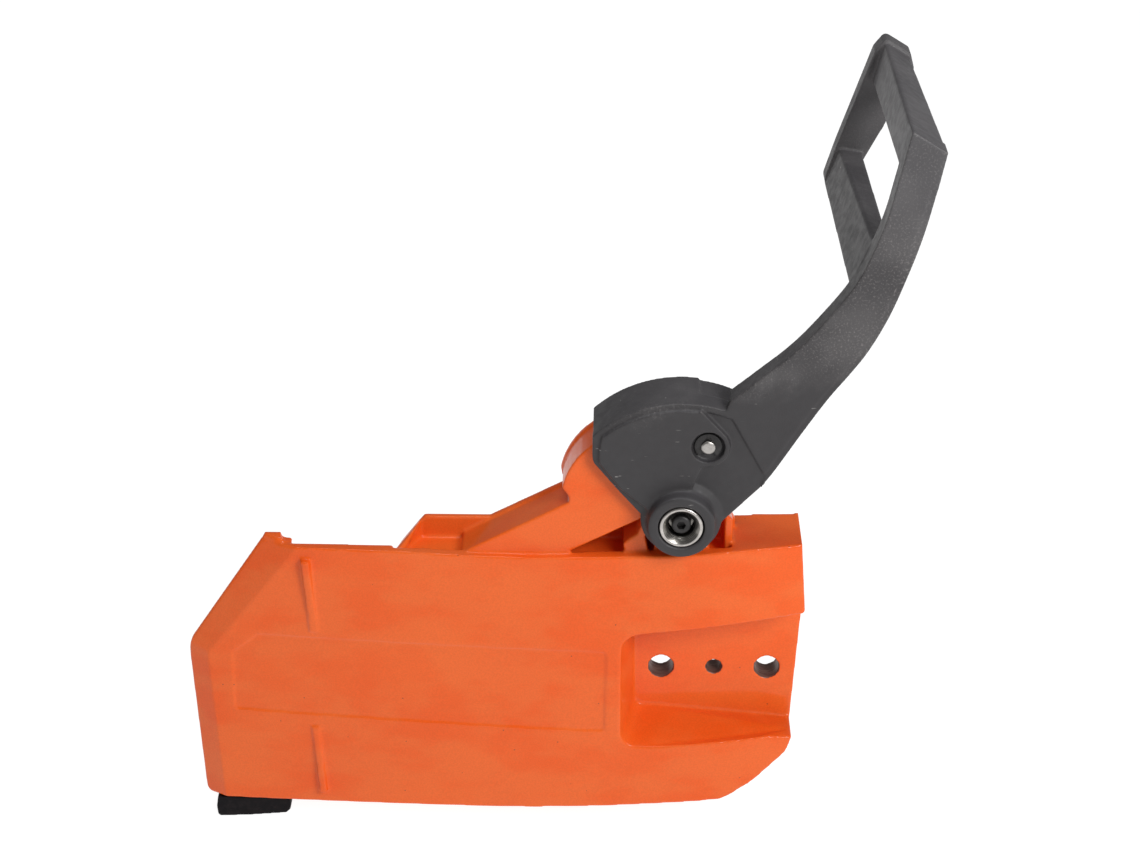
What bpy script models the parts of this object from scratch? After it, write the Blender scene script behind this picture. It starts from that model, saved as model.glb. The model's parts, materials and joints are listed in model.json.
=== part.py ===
"""Clutch cover of a chainsaw with its chain brake and front hand guard.

Frame: origin midway between the two bar stud holes, on the face that clamps the guide bar.
+X runs forward along the bar, +Y into the saw body, +Z up. The outer face looks to -Y.
Every size below is in millimetres; MM turns it into Blender's metres.
Outlines are (x, z) pairs seen from outside the cover, anticlockwise.
"""

import math

import bmesh
import bpy
from mathutils import Matrix, Vector

MM = 0.001
GAP = 0.3  # between two pieces that touch
BEYOND = 60.0  # a cutter that goes right through reaches this far
RUN = 0.35  # radial play of a pin in its hole

# ---------------------------------------------------------------- clutch cover
STUD_SPACING = 38.0
STUD_HOLE = 9.0
ACCESS_HOLE = 5.7
CLAMP_THICKNESS = 10.0  # recess floor to clamp face
COVER_REAR = -187.0
COVER_FRONT = 30.8
COVER_TOP = 56.0
COVER_BOTTOM = -50.0
CROWN = 28.0  # furthest the outer face stands out from the clamp face
CROWN_AT = -20.0  # where along X it does so
CROWN_DROP_REAR = 6.0
CROWN_DROP_FRONT = 5.0
WALL = 3.0
FACET_START = 18.5  # the rear facet begins at this depth
FACET_SLOPE = 1.8  # and runs in by this much for each mm outward
HORN_END = 38.0  # the rear wall's raised end, measured from the rear
DECK = 52.0  # top of the brake chamber
DECK_REAR = -112.9
DECK_FRONT = 4.2
PARAPET = 23.0  # the outer plate is this far from the clamp face where it stands over the deck
TOP_LIP = 21.2  # and this far from it where nothing lies behind
RECESS_TOP = 24.0
RECESS_BOTTOM = -20.8
RECESS_REAR = -28.8

# ---------------------------------------------------------------- brake housing
FRONT_FACE = 24.5  # housing's outer face, from the clamp face
HOUSING_BACK = 7.0
HOUSING_WALL = 2.5
FLANGE = 2.5
FLANGE_FOOT = DECK - 2.3
RAMP_TOP = -102.6  # where the flange's level top ends and the rear ramp begins
CHANNEL_END = -89.2
TOWER = 38.0  # its radius about the guard's hub
TOWER_SIDE = 27.9
BUTTRESS = 20.5
CHANNEL_ANGLE = math.radians(28)
CHANNEL_X = -53.0  # a point on the spring channel's axis
CHANNEL_Z = 64.0
CHANNEL_WIDTH = 17.0
CHANNEL_DEPTH = (FRONT_FACE - HOUSING_WALL + HOUSING_BACK) / 2  # of the spring's axis

# ---------------------------------------------------------------- hand guard
HUB_X = -13.6
HUB_Z = 70.3
HUB_BOSS = 23.0
HUB_FACE = 35.0
GUARD_FACE = 28.5
GUARD_PLATE = 3.5
GUARD_ARM = 9.0
HOOD_RADIUS = 43.6
HOOD_WALL = 2.2
HOOD_BACK = 6.5
HOOD_END = math.radians(134)
RAISED = 1.3
GUARD_REACH = 80.0  # far side of the loop
LOOP_THICKNESS = 8.0
LINK_PIN_X = -5.0
LINK_PIN_Z = 98.3
PIN_POCKET = 5.6
CLIP_SEAT = 0.9  # depth of the pocket's floor below the guard's face
PULL_BACK = math.radians(11)

# ---------------------------------------------------------------- drum and band
DRUM_X = -80.0
DRUM_Z = 5.0
BAND_THICKNESS = 1.2
BAND_WIDTH = 12.0
BAND_ANCHOR = math.radians(68)  # where the band's fixed end is, about the drum
LOOP_REAR = -44.5  # stations of the long loop at the band's pulled end
LOOP_FRONT = -39.6
ANCHOR_SEAT = 24.0  # bottom of the anchor pin's blind hole

# ---------------------------------------------------------------- brake linkage
KNEE_STATION = 52.0  # knee pivot, along the channel's axis from CHANNEL_X
KNEE_ARM = 17.0
KNEE_LINK = 19.0
KNEE_SWING = math.radians(29)
LINKAGE_PIN = 3.0
LINK_SHEET = 2.2
KNEE_PIVOT = 4.0
GUARD_PIN = 4.8
SPRING_OUTER = 10.6
SPRING_INNER = 7.0
SEAT_STATION = -24.0
ROD = 3.6

# ---------------------------------------------------------------- sleeve and screws
SLEEVE = 15.0
SLEEVE_MOUTH = 12.4  # the bore's wide end
SLEEVE_CONE = 2.3  # and how deep it narrows
SLEEVE_BORE = 8.8
SLEEVE_DEPTH = 7.0
SLEEVE_END = 10.5
WASHER = 21.2
PIVOT_THREAD = 5.0
PIVOT_HEAD = 6.6
PIVOT_HEAD_HEIGHT = 4.8
PLATE_SCREW = 4.0
PLATE_SCREW_HEAD = 7.0
COVER_PLATE = 1.5
DEFLECTOR_DROP = 8.5
DEFLECTOR_REAR = -181.0
DEFLECTOR_FRONT = -154.0
DEFLECTOR_MIDDLE = -15.5  # along Y

COLOURS = {
    "orange_paint": ((0.80, 0.13, 0.022), 0.32, 0.0),
    "guard_plastic": ((0.065, 0.063, 0.068), 0.55, 0.0),
    "bright_steel": ((0.62, 0.60, 0.58), 0.28, 1.0),
    "black_steel": ((0.030, 0.030, 0.032), 0.45, 0.6),
    "spring_steel": ((0.30, 0.30, 0.31), 0.35, 1.0),
    "zinc_steel": ((0.52, 0.52, 0.54), 0.38, 1.0),
    "rubber": ((0.018, 0.018, 0.019), 0.75, 0.0),
}


# ================================================================ helpers
def clear_scene():
    for obj in list(bpy.data.objects):
        bpy.data.objects.remove(obj)


def material(name):
    found = bpy.data.materials.get(name)
    if found:
        return found
    colour, roughness, metallic = COLOURS[name]
    made = bpy.data.materials.new(name)
    made.use_nodes = True
    shader = made.node_tree.nodes["Principled BSDF"]
    shader.inputs["Base Color"].default_value = (*colour, 1.0)
    shader.inputs["Roughness"].default_value = roughness
    shader.inputs["Metallic"].default_value = metallic
    return made


def place(name, mesh_edit, finish=None):
    """Object from a bmesh: a node when it has a finish, a hidden cutter when it hasn't."""
    bmesh.ops.recalc_face_normals(mesh_edit, faces=mesh_edit.faces)
    bmesh.ops.scale(mesh_edit, vec=(MM, MM, MM), verts=mesh_edit.verts)
    mesh = bpy.data.meshes.new(name)
    mesh_edit.to_mesh(mesh)
    mesh_edit.free()
    obj = bpy.data.objects.new(name, mesh)
    bpy.context.scene.collection.objects.link(obj)
    if finish:
        mesh.materials.append(material(finish))
        mesh.shade_smooth()
        mesh.set_sharp_from_angle(angle=math.radians(32))
    else:
        obj.hide_render = True
        obj.display_type = "WIRE"
    return obj


def boolean(obj, others, operation):
    for other in others:
        modifier = obj.modifiers.new(other.name, "BOOLEAN")
        modifier.operation = operation
        modifier.solver = "EXACT"
        modifier.object = other
    return obj


def carve(obj, *cutters):
    return boolean(obj, cutters, "DIFFERENCE")


def fuse(obj, *additions):
    return boolean(obj, additions, "UNION")


def loft(name, sections, finish=None):
    """Closed skin through (outline, depth) pairs; a section at depth d lies in the plane y = d."""
    made = bmesh.new()
    rings = [[made.verts.new((x, depth, z)) for x, z in outline] for outline, depth in sections]
    count = len(rings[0])
    for near, far in zip(rings, rings[1:]):
        for i in range(count):
            j = (i + 1) % count
            made.faces.new((near[i], near[j], far[j], far[i]))
    made.faces.new(rings[0])
    made.faces.new(rings[-1])
    return place(name, made, finish)


def prism(name, outline, start, end, finish=None):
    return loft(name, [(outline, start), (outline, end)], finish)


def block(name, low, high, finish=None):
    outline = [(low[0], low[2]), (high[0], low[2]), (high[0], high[2]), (low[0], high[2])]
    return prism(name, outline, low[1], high[1], finish)


def plan_prism(name, plan, bottom, top, finish=None):
    """Prism with its outline in (x, y) and its length along Z."""
    made = bmesh.new()
    low = [made.verts.new((x, y, bottom)) for x, y in plan]
    high = [made.verts.new((x, y, top)) for x, y in plan]
    for i in range(len(plan)):
        j = (i + 1) % len(plan)
        made.faces.new((low[i], low[j], high[j], high[i]))
    made.faces.new(low)
    made.faces.new(high)
    return place(name, made, finish)


def arc(x, z, radius, start, end, steps):
    """Points on a circle, angles in radians, both ends included."""
    turn = (end - start) / steps
    return [
        (x + radius * math.cos(start + turn * i), z + radius * math.sin(start + turn * i))
        for i in range(steps + 1)
    ]


def circle(x, z, radius, sides):
    return arc(x, z, radius, 0, 2 * math.pi * (1 - 1 / sides), sides - 1)


def turned(name, x, z, profile, sides, finish=None):
    """Solid of stacked discs about an axis along Y: profile is (depth, radius) pairs."""
    return loft(name, [(circle(x, z, radius, sides), depth) for depth, radius in profile], finish)


def tube(name, x, z, outer, inner, start, end, sides, finish=None):
    """Ring about an axis along Y."""
    made = bmesh.new()
    rings = []
    for radius, depth in ((outer, start), (outer, end), (inner, end), (inner, start)):
        rings.append([made.verts.new((px, depth, pz)) for px, pz in circle(x, z, radius, sides)])
    for near, far in zip(rings, rings[1:] + rings[:1]):
        for i in range(sides):
            j = (i + 1) % sides
            made.faces.new((near[i], near[j], far[j], far[i]))
    return place(name, made, finish)


def rounded(corners, steps=3):
    """Outline from (x, z, radius) corners, with an arc of that radius at each."""
    outline = []
    for i, (x, z, radius) in enumerate(corners):
        here = Vector((x, z))
        if radius == 0:
            outline.append((x, z))
            continue
        back = (Vector(corners[i - 1][:2]) - here).normalized()
        ahead = (Vector(corners[(i + 1) % len(corners)][:2]) - here).normalized()
        half = back.angle(ahead) / 2
        middle = here + (back + ahead).normalized() * (radius / math.sin(half))
        first = here + back * (radius / math.tan(half)) - middle
        last = here + ahead * (radius / math.tan(half)) - middle
        sweep = first.angle_signed(last)
        for k in range(steps + 1):
            angle = -sweep * k / steps
            turned_to = Matrix.Rotation(angle, 2) @ first
            outline.append(tuple(middle + turned_to))
    return outline


def inset(outline, amounts):
    """Anticlockwise outline with the edge that starts at each corner moved in by its amount."""
    count = len(outline)
    lines = []
    for i in range(count):
        start = Vector(outline[i])
        along = (Vector(outline[(i + 1) % count]) - start).normalized()
        inward = Vector((-along.y, along.x))
        lines.append((start + inward * amounts[i], along))
    moved = []
    for i in range(count):
        (p, d), (q, e) = lines[i - 1], lines[i]
        cross = d.x * e.y - d.y * e.x
        t = ((q.x - p.x) * e.y - (q.y - p.y) * e.x) / cross
        moved.append(tuple(p + d * t))
    return moved


def along_channel(station, side=0.0):
    """(x, z) at a distance along the spring channel's axis and to its upper left side."""
    c, s = math.cos(CHANNEL_ANGLE), math.sin(CHANNEL_ANGLE)
    return CHANNEL_X + station * c - side * s, CHANNEL_Z + station * s + side * c


def channel_bar(name, start, end, half, depth, sides, finish=None, inner=0.0):
    """Round bar, or ring when inner is given, lying along the channel's axis."""
    made = bmesh.new()
    c, s = math.cos(CHANNEL_ANGLE), math.sin(CHANNEL_ANGLE)
    rings = []
    stations = [(start, half), (end, half)]
    if inner:
        stations += [(end, inner), (start, inner)]
    for station, radius in stations:
        x, z = along_channel(station)
        ring = []
        for i in range(sides):
            angle = 2 * math.pi * (i + 0.5) / sides
            up, out = radius * math.sin(angle), radius * math.cos(angle)
            ring.append(made.verts.new((x - up * s, -depth + out, z + up * c)))
        rings.append(ring)
    loops = list(zip(rings, rings[1:]))
    if inner:
        loops.append((rings[-1], rings[0]))
    else:
        made.faces.new(rings[0])
        made.faces.new(rings[-1])
    for near, far in loops:
        for i in range(sides):
            j = (i + 1) % sides
            made.faces.new((near[i], near[j], far[j], far[i]))
    return place(name, made, finish)


def channel_block(name, start, end, low, high, near, far, finish=None):
    """Block lined up with the channel: stations, sides, and depths from the clamp face."""
    corners = [along_channel(start, low), along_channel(end, low),
               along_channel(end, high), along_channel(start, high)]
    return prism(name, corners, -near, -far, finish)


# ================================================================ shared geometry
def crown_depth(x):
    """Depth of the outer face: two arcs of a large radius that meet at CROWN_AT."""
    if x < CROWN_AT:
        share = (CROWN_AT - x) / (CROWN_AT - COVER_REAR)
        return CROWN - CROWN_DROP_REAR * share * share
    share = (x - CROWN_AT) / (COVER_FRONT - CROWN_AT)
    return CROWN - CROWN_DROP_FRONT * share * share


def crown_cutter(name, under):
    """Everything further out than the outer face less a wall."""
    steps = 40
    left, right = COVER_REAR - 15, COVER_FRONT + 20
    plan = [(left + (right - left) * i / steps, -crown_depth(left + (right - left) * i / steps) + under)
            for i in range(steps + 1)]
    plan += [(right, -CROWN - 30), (left, -CROWN - 30)]
    return plan_prism(name, plan, COVER_BOTTOM - 30, COVER_TOP + 30)


def plate_outline():
    """Outer plate, anticlockwise from its lower rear corner."""
    return [
        (COVER_REAR + 2.4, COVER_BOTTOM + 0.2), (-77.0, COVER_BOTTOM),
        (-40.0, COVER_BOTTOM + 1.2), (3.7, COVER_BOTTOM + 4.2), (14.0, COVER_BOTTOM + 11.2),
        (26.0, COVER_BOTTOM + 23.0), (28.0, COVER_BOTTOM + 29.0), (COVER_FRONT, RECESS_TOP + 5.5),
        (COVER_FRONT - 2.2, COVER_TOP + 1.8), (14.0, COVER_TOP + 1.3), (-11.0, COVER_TOP - 0.3),
        (-41.0, COVER_TOP - 1.4), (-63.5, COVER_TOP - 2.0), (-86.0, COVER_TOP - 1.5),
        (-110.0, COVER_TOP - 0.6), (COVER_REAR + 27.9, COVER_TOP - 0.2),
        (COVER_REAR, 14.0), (COVER_REAR, 6.0),
    ]


# The edges that start at these corners of the outline are the rear facet.
FACET_EDGES = (15, 16, 17)


def facet_outline(outward):
    outline = plate_outline()
    amounts = [FACET_SLOPE * outward if i in FACET_EDGES else 0.0 for i in range(len(outline))]
    return inset(outline, amounts)


def band_radius():
    """The band's middle, so that its end leaves the drum along the channel's axis."""
    across = (DRUM_X - CHANNEL_X) * math.sin(CHANNEL_ANGLE)
    up = (CHANNEL_Z - DRUM_Z) * math.cos(CHANNEL_ANGLE)
    return across + up


def band_anchor():
    radius = band_radius() + 1.6
    return DRUM_X + radius * math.cos(BAND_ANCHOR), DRUM_Z + radius * math.sin(BAND_ANCHOR)


def recess_section(draft):
    """Bar nut recess: its outline on the floor grown by the draft."""
    low = RECESS_BOTTOM
    return rounded([
        (RECESS_REAR - 0.27 * draft, RECESS_TOP - 2.0 + 0.05 * draft, 7.0),
        (RECESS_REAR - 0.27 * draft, low + 5.0 - 0.42 * draft, 4.0 + 0.1 * draft),
        (COVER_FRONT - 2.0, low, 0),
        (COVER_FRONT + 15.0, low - 1.0, 0),
        (COVER_FRONT + 15.0, RECESS_TOP + 8.0, 0),
    ], 4)


# ================================================================ clutch cover
def clutch_cover():
    outline = plate_outline()
    front = CROWN + 1.0
    cover = loft("clutch_cover", [(outline, 0), (outline, -FACET_START),
                                  (facet_outline(front - FACET_START), -front)], "orange_paint")
    carve(cover, crown_cutter("crown", 0))
    carve(cover, *cover_cavities())
    fuse(cover, *clamp_pad(), rear_horn(), *housing_blocks())
    carve(cover, *housing_cavities())
    carve(cover, *cover_holes())
    return cover


def cover_cavities():
    outline = plate_outline()
    inner = inset(outline, [WALL] * len(outline))
    deep = CROWN + 1 - FACET_START
    narrow = inset(outline, [WALL + (FACET_SLOPE * deep if i in FACET_EDGES else 0.0)
                             for i in range(len(outline))])
    cavity = loft("cavity", [(inner, 2), (inner, -FACET_START + 1.0), (narrow, -CROWN)])
    over_deck = block("cavity_over_deck", (DECK_REAR, -BEYOND, DECK - HOUSING_WALL), (BEYOND, BEYOND, BEYOND + 30))
    thick = block("recess_wall", (RECESS_REAR - 0.27 * 17 - WALL, -BEYOND, RECESS_BOTTOM - 5.7),
                  (BEYOND, BEYOND, RECESS_TOP + 9.5))
    carve(cavity, crown_cutter("crown_inside", WALL), over_deck, thick)
    pocket = block("clamp_pocket", (RECESS_REAR - 1.5, -CLAMP_THICKNESS + 3.5, -24), (26, 2, 30))
    deck = block("deck_cut", (DECK_REAR, -PARAPET, DECK), (DECK_FRONT, 5, 90))
    plate_seat = block("plate_seat", (DECK_REAR + 2, -HOUSING_BACK, 44), (DECK_FRONT + 1.5, 5, 90))
    horn_end = COVER_REAR + HORN_END
    rear_top = prism("open_top", [(COVER_REAR - 13, 4), (horn_end - 1, 20), (DECK_REAR + 0.5, 40),
                                  (DECK_REAR + 0.5, 90), (COVER_REAR - 13, 90)], -FACET_START + 1.5, 5)
    top_lip = prism("open_top_lip", [(horn_end, 20), (DECK_REAR + 0.5, 40), (DECK_REAR + 0.5, 90),
                                     (horn_end - 2, 90)], -TOP_LIP, 0)
    deck_corner = plan_prism("deck_corner", [
        (-125, 5), (RAMP_TOP - 1.2, 5), (RAMP_TOP - 1.2, -HOUSING_BACK), (DECK_REAR + 0.2, -TOP_LIP),
        (-125, -TOP_LIP)], 45, 90)
    recess = loft("recess", [(recess_section(0), -CLAMP_THICKNESS), (recess_section(20), -30)])
    return cavity, pocket, deck, plate_seat, rear_top, top_lip, deck_corner, recess


def rear_horn():
    """Upper end of the slanted rear wall, which stands a little above the top edge."""
    top = COVER_TOP + 2.0
    end = COVER_REAR + HORN_END
    back = [(end - 12.5, DECK - 1.0), (end, DECK), (end + 0.6, COVER_TOP - 0.6),
            (end - 2.7, COVER_TOP + 0.2), (end - 3.4, top), (end - 8.8, top)]
    front = [(end - 8.0, DECK - 1.0), (end + 0.2, DECK), (end + 1.0, COVER_TOP - 0.7),
             (end - 1.6, COVER_TOP + 0.1), (end - 2.6, top - 0.8), (end - 4.5, top - 0.8)]
    return loft("rear_horn", [(back, -FACET_START + 1.5), (back, -FACET_START), (front, -FACET_START - 2.2)])


def clamp_pad():
    """Bosses under the stud holes that carry the clamp face."""
    half = STUD_SPACING / 2
    pad = rounded([(-half - 9, -12, 6), (half + 9, -12, 6), (half + 9, 12, 6), (-half - 9, 12, 6)], 4)
    return [prism("clamp_pad", pad, -CLAMP_THICKNESS + 3, 0)]


def tower_side(outward):
    """The tower's rounded rear side, from its top to the spring channel."""
    return arc(-27.0, 74.0, TOWER_SIDE + outward, math.radians(108), math.radians(168), 10)


def housing_outline():
    """Channel, tower and rib, seen from outside."""
    half = CHANNEL_WIDTH / 2
    tower = arc(HUB_X, HUB_Z, TOWER, math.radians(50), math.radians(128), 20)
    return [
        (CHANNEL_END, FLANGE_FOOT + 4.5), (CHANNEL_END, FLANGE_FOOT), (CHANNEL_END + 5.8, FLANGE_FOOT),
        along_channel(-33, -half), along_channel(27.0, -half), (-28.3, 62.2), (-30.9, 60.4), (-33.2, 58.1), (-32.3, 50.0),
        (-23.4, 50.0), (-26.0, 62.0), (-12.0, 60.0), (-1.5, 66.0), (-0.3, 72.0),
        *tower, *tower_side(0.0), (-52.0, 76.5), along_channel(6, half),
    ]


def housing_blocks():
    upper = prism("housing", housing_outline(), -FRONT_FACE, -HOUSING_BACK)
    half = CHANNEL_WIDTH / 2
    top = COVER_TOP + 4.3
    flange = prism("flange", [
        (-110.8, FLANGE_FOOT), (6.0, FLANGE_FOOT), (6.0, 60.0), (-1.3, 74.0),
        *arc(HUB_X, HUB_Z, TOWER - 0.5, math.radians(48), math.radians(128), 16),
        *tower_side(0.7), along_channel(4, half + 0.7), along_channel(-25.3, half + 0.7), (RAMP_TOP, top)],
        -HOUSING_BACK - FLANGE, -HOUSING_BACK + 0.01)
    ramp = loft("rear_ramp", [
        ([(-110.9, FLANGE_FOOT), (RAMP_TOP - 0.2, FLANGE_FOOT), (RAMP_TOP, top), (RAMP_TOP - 1.6, top - 1.9)],
         -HOUSING_BACK),
        ([(-114.8, FLANGE_FOOT), (-107.4, FLANGE_FOOT), (-112.0, DECK + 1.4), (-113.4, DECK + 1.0)],
         -TOP_LIP - 3.0)])
    buttress = loft("front_buttress", [
        ([(1.8, DECK - 1.5), (4.6, DECK - 1.5), (4.6, 62.0), (1.8, 65.5)], -HOUSING_BACK - 0.5),
        ([(1.8, DECK - 1.5), (4.6, DECK - 1.5), (4.6, 66.0), (1.8, 68.0)], -BUTTRESS)])
    column = prism("hub_column", [(HUB_X - 9, 48), (HUB_X + 9.9, 48), (HUB_X + 9.9, HUB_Z),
                                  (HUB_X - 9, HUB_Z)], -FRONT_FACE + 1.5, -HOUSING_BACK - 0.5)
    anchor = turned("anchor_boss", *band_anchor(), [(-25.3, 4.8), (-CHANNEL_DEPTH - BAND_WIDTH / 2 - 0.5, 4.8)], 20)
    boss = turned("hub_boss", HUB_X, HUB_Z, [(-FRONT_FACE + 0.8, 11.5), (-HOUSING_BACK, 11.5)], 32)
    return upper, flange, ramp, buttress, column, anchor, boss


def housing_cavities():
    half = CHANNEL_WIDTH / 2 - HOUSING_WALL
    near, far = FRONT_FACE - HOUSING_WALL, HOUSING_BACK - 3
    channel = channel_block("spring_channel", SEAT_STATION - GAP, 34, -half, half, near, far)
    mouth = channel_block("band_mouth", -48, SEAT_STATION + 1, -2.6, 2.6, CHANNEL_DEPTH + 6.6,
                          CHANNEL_DEPTH - 6.6)
    tower = prism("tower_cavity", [
        *arc(HUB_X, HUB_Z, 35.2, math.radians(56), math.radians(140), 10),
        along_channel(12, half - 0.3), along_channel(20, -half + 0.3),
        *arc(HUB_X, HUB_Z, 11.6, math.radians(150), math.radians(30), 6)], -near, -far)
    slot_start = math.atan2(LINK_PIN_Z - HUB_Z, LINK_PIN_X - HUB_X)
    reach = math.hypot(LINK_PIN_Z - HUB_Z, LINK_PIN_X - HUB_X)
    lip = 4.2
    slot = prism("guard_pin_slot", [
        *arc(HUB_X, HUB_Z, reach + lip, slot_start - 0.14, slot_start + PULL_BACK + 0.14, 5),
        *arc(HUB_X, HUB_Z, reach - lip, slot_start + PULL_BACK + 0.14, slot_start - 0.14, 5)],
        -FRONT_FACE - 3, -near + 1)
    knee_space = channel_block("knee_space", 30, 46, -3.9, half, near, far)
    return channel, mouth, tower, knee_space, slot


def cover_holes():
    half = STUD_SPACING / 2
    holes = [turned(f"stud_hole_{i}", x, 0, [(-20, STUD_HOLE / 2), (5, STUD_HOLE / 2)], 32)
             for i, x in ((1, -half), (2, half))]
    holes.append(turned("access_hole", 0, 0, [(-20, ACCESS_HOLE / 2), (5, ACCESS_HOLE / 2)], 24))
    holes.append(turned("sleeve_seat", HUB_X, HUB_Z, [(-40, SLEEVE / 2 + GAP),
                                                     (-SLEEVE_END + GAP, SLEEVE / 2 + GAP)], 32))
    holes += [turned(f"plate_thread_{i}", x, z, [(-HOUSING_BACK - FLANGE + 0.5, PLATE_SCREW / 2 + GAP),
                                                (5, PLATE_SCREW / 2 + GAP)], 16)
              for i, (x, z) in enumerate(plate_screw_places(), 1)]
    holes += [vertical_turned(f"deflector_thread_{i}", x, DEFLECTOR_MIDDLE, [(COVER_BOTTOM - 5, 2.0 + GAP),
                                                                 (COVER_BOTTOM + 6, 2.0 + GAP)], 16)
              for i, x in enumerate(deflector_screw_places(), 1)]
    holes.append(turned("washer_seat", HUB_X, HUB_Z, [(-40, WASHER / 2 + GAP),
                                                     (-FRONT_FACE + 0.8, WASHER / 2 + GAP)], 32))
    holes.append(turned("anchor_seat", *band_anchor(), [(-ANCHOR_SEAT, KNEE_PIVOT / 2 + GAP),
                                                       (5, KNEE_PIVOT / 2 + GAP)], 16))
    holes.append(turned("pivot_hole", HUB_X, HUB_Z, [(-40, PIVOT_THREAD / 2 + GAP),
                                                    (5, PIVOT_THREAD / 2 + GAP)], 20))
    return holes


# ================================================================ hand guard
def guard_outline():
    """Side plate and arm, anticlockwise from the lowest point under the hub."""
    return [
        (HUB_X + 3.0, HUB_Z - 11.5), (0.0, 68.5), (12.5, 81.6), (18.1, 89.5), (34.4, 115.7),
        (47.2, 133.3), (53.5, 146.6), (57.7, 158.9), (62.8, 174.5), (65.6, 187.0), (68.6, 203.0),
        (56.8, 210.2), (55.1, 201.2), (52.8, 191.8), (50.5, 181.2), (47.4, 171.5), (43.1, 160.3),
        (36.4, 149.6), (23.6, 133.9), (11.1, 122.7), (4.5, 116.5),
        *arc(HUB_X, HUB_Z, HOOD_RADIUS, math.radians(68), HOOD_END, 16),
        (-43.6, 94.5), (-42.6, 90.2), (-35.4, 81.4), (-25.6, 70.0), (HUB_X - 8.5, HUB_Z - 8.5),
    ]


def arm_outline():
    """The arm alone, which is deeper than the side plate."""
    return [
        (20.4, 93.2), (34.4, 115.7), (47.2, 133.3), (53.5, 146.6), (57.7, 158.9), (62.8, 174.5),
        (65.6, 187.0), (68.6, 203.0), (56.8, 210.2), (55.1, 201.2), (52.8, 191.8), (50.5, 181.2),
        (47.4, 171.5), (43.1, 160.3), (36.4, 149.6), (23.6, 133.9), (11.1, 122.7), (4.5, 116.5),
        (7.5, 109.0),
    ]


def hand_guard():
    guard = prism("hand_guard", guard_outline(), -GUARD_FACE, -GUARD_FACE + GUARD_PLATE,
                  "guard_plastic")
    arm = prism("guard_arm", arm_outline(), -GUARD_FACE + 0.05, -GUARD_FACE + GUARD_ARM)
    hood = prism("guard_hood", [
        *arc(HUB_X, HUB_Z, HOOD_RADIUS - 0.03, math.radians(60), HOOD_END, 18),
        *arc(HUB_X, HUB_Z, HOOD_RADIUS - HOOD_WALL, HOOD_END, math.radians(60), 18)],
        -GUARD_FACE + 0.1, -HOOD_BACK)
    raised = prism("guard_raised", [
        (-24.0, 73.5), (-10.8, 81.4), (-7.1, 90.5), *arc(LINK_PIN_X, LINK_PIN_Z, 7.3,
        math.radians(-70), math.radians(25), 5), (-7.4, 110.8), (-17.5, 111.0), (-28.5, 107.0),
        (-41.5, 97.0), (-42.0, 92.0)], -GUARD_FACE - RAISED, -GUARD_FACE + 0.5)
    boss = turned("guard_boss", HUB_X, HUB_Z, [(-HUB_FACE, HUB_BOSS / 2 - 0.6),
                                               (-HUB_FACE + 0.6, HUB_BOSS / 2),
                                               (-GUARD_FACE + GUARD_PLATE, HUB_BOSS / 2)], 40)
    fuse(guard, arm, hood, raised, boss, *guard_loop())
    bore = turned("guard_bore", HUB_X, HUB_Z, [(-BEYOND, SLEEVE / 2 + RUN), (-15, SLEEVE / 2 + RUN)], 40)
    pocket = turned("pin_pocket", LINK_PIN_X, LINK_PIN_Z, [(-BEYOND, PIN_POCKET), (-GUARD_FACE + CLIP_SEAT, PIN_POCKET)], 28)
    pin_hole = turned("pin_hole", LINK_PIN_X, LINK_PIN_Z, [(-BEYOND, GUARD_PIN / 2 + GAP),
                                                          (-15, GUARD_PIN / 2 + GAP)], 20)
    carve(guard, bore, pocket, pin_hole)
    return guard


def guard_loop():
    """Top bar, far side and lower bar of the loop that the hand meets."""
    far = [(38.1, 154.4), (46.5, 151.5), (59.0, 176.0), (69.0, 198.5), (67.0, 203.0), (58.0, 208.8),
           (55.0, 205.0), (42.5, 168.5)]
    near_depth = -GUARD_FACE + GUARD_ARM - 1.0
    far_depth = GUARD_REACH - LOOP_THICKNESS + 1.0
    side = prism("loop_far_side", far, far_depth - 1.0, GUARD_REACH)
    top_near = [(54.2, 195.0), (66.5, 192.0), (68.4, 202.5), (57.0, 209.0)]
    top_far = [(54.0, 192.5), (65.5, 191.0), (66.8, 201.5), (57.8, 207.2)]
    top = loft("loop_top", [(top_near, near_depth), (top_far, far_depth)])
    low_near = [(40.0, 153.5), (47.0, 151.0), (53.0, 168.0), (47.0, 170.0)]
    low_far = [(38.6, 153.6), (46.0, 151.7), (52.0, 166.0), (43.5, 167.5)]
    low = loft("loop_low", [(low_near, near_depth), (low_far, far_depth)])
    return side, top, low


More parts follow.
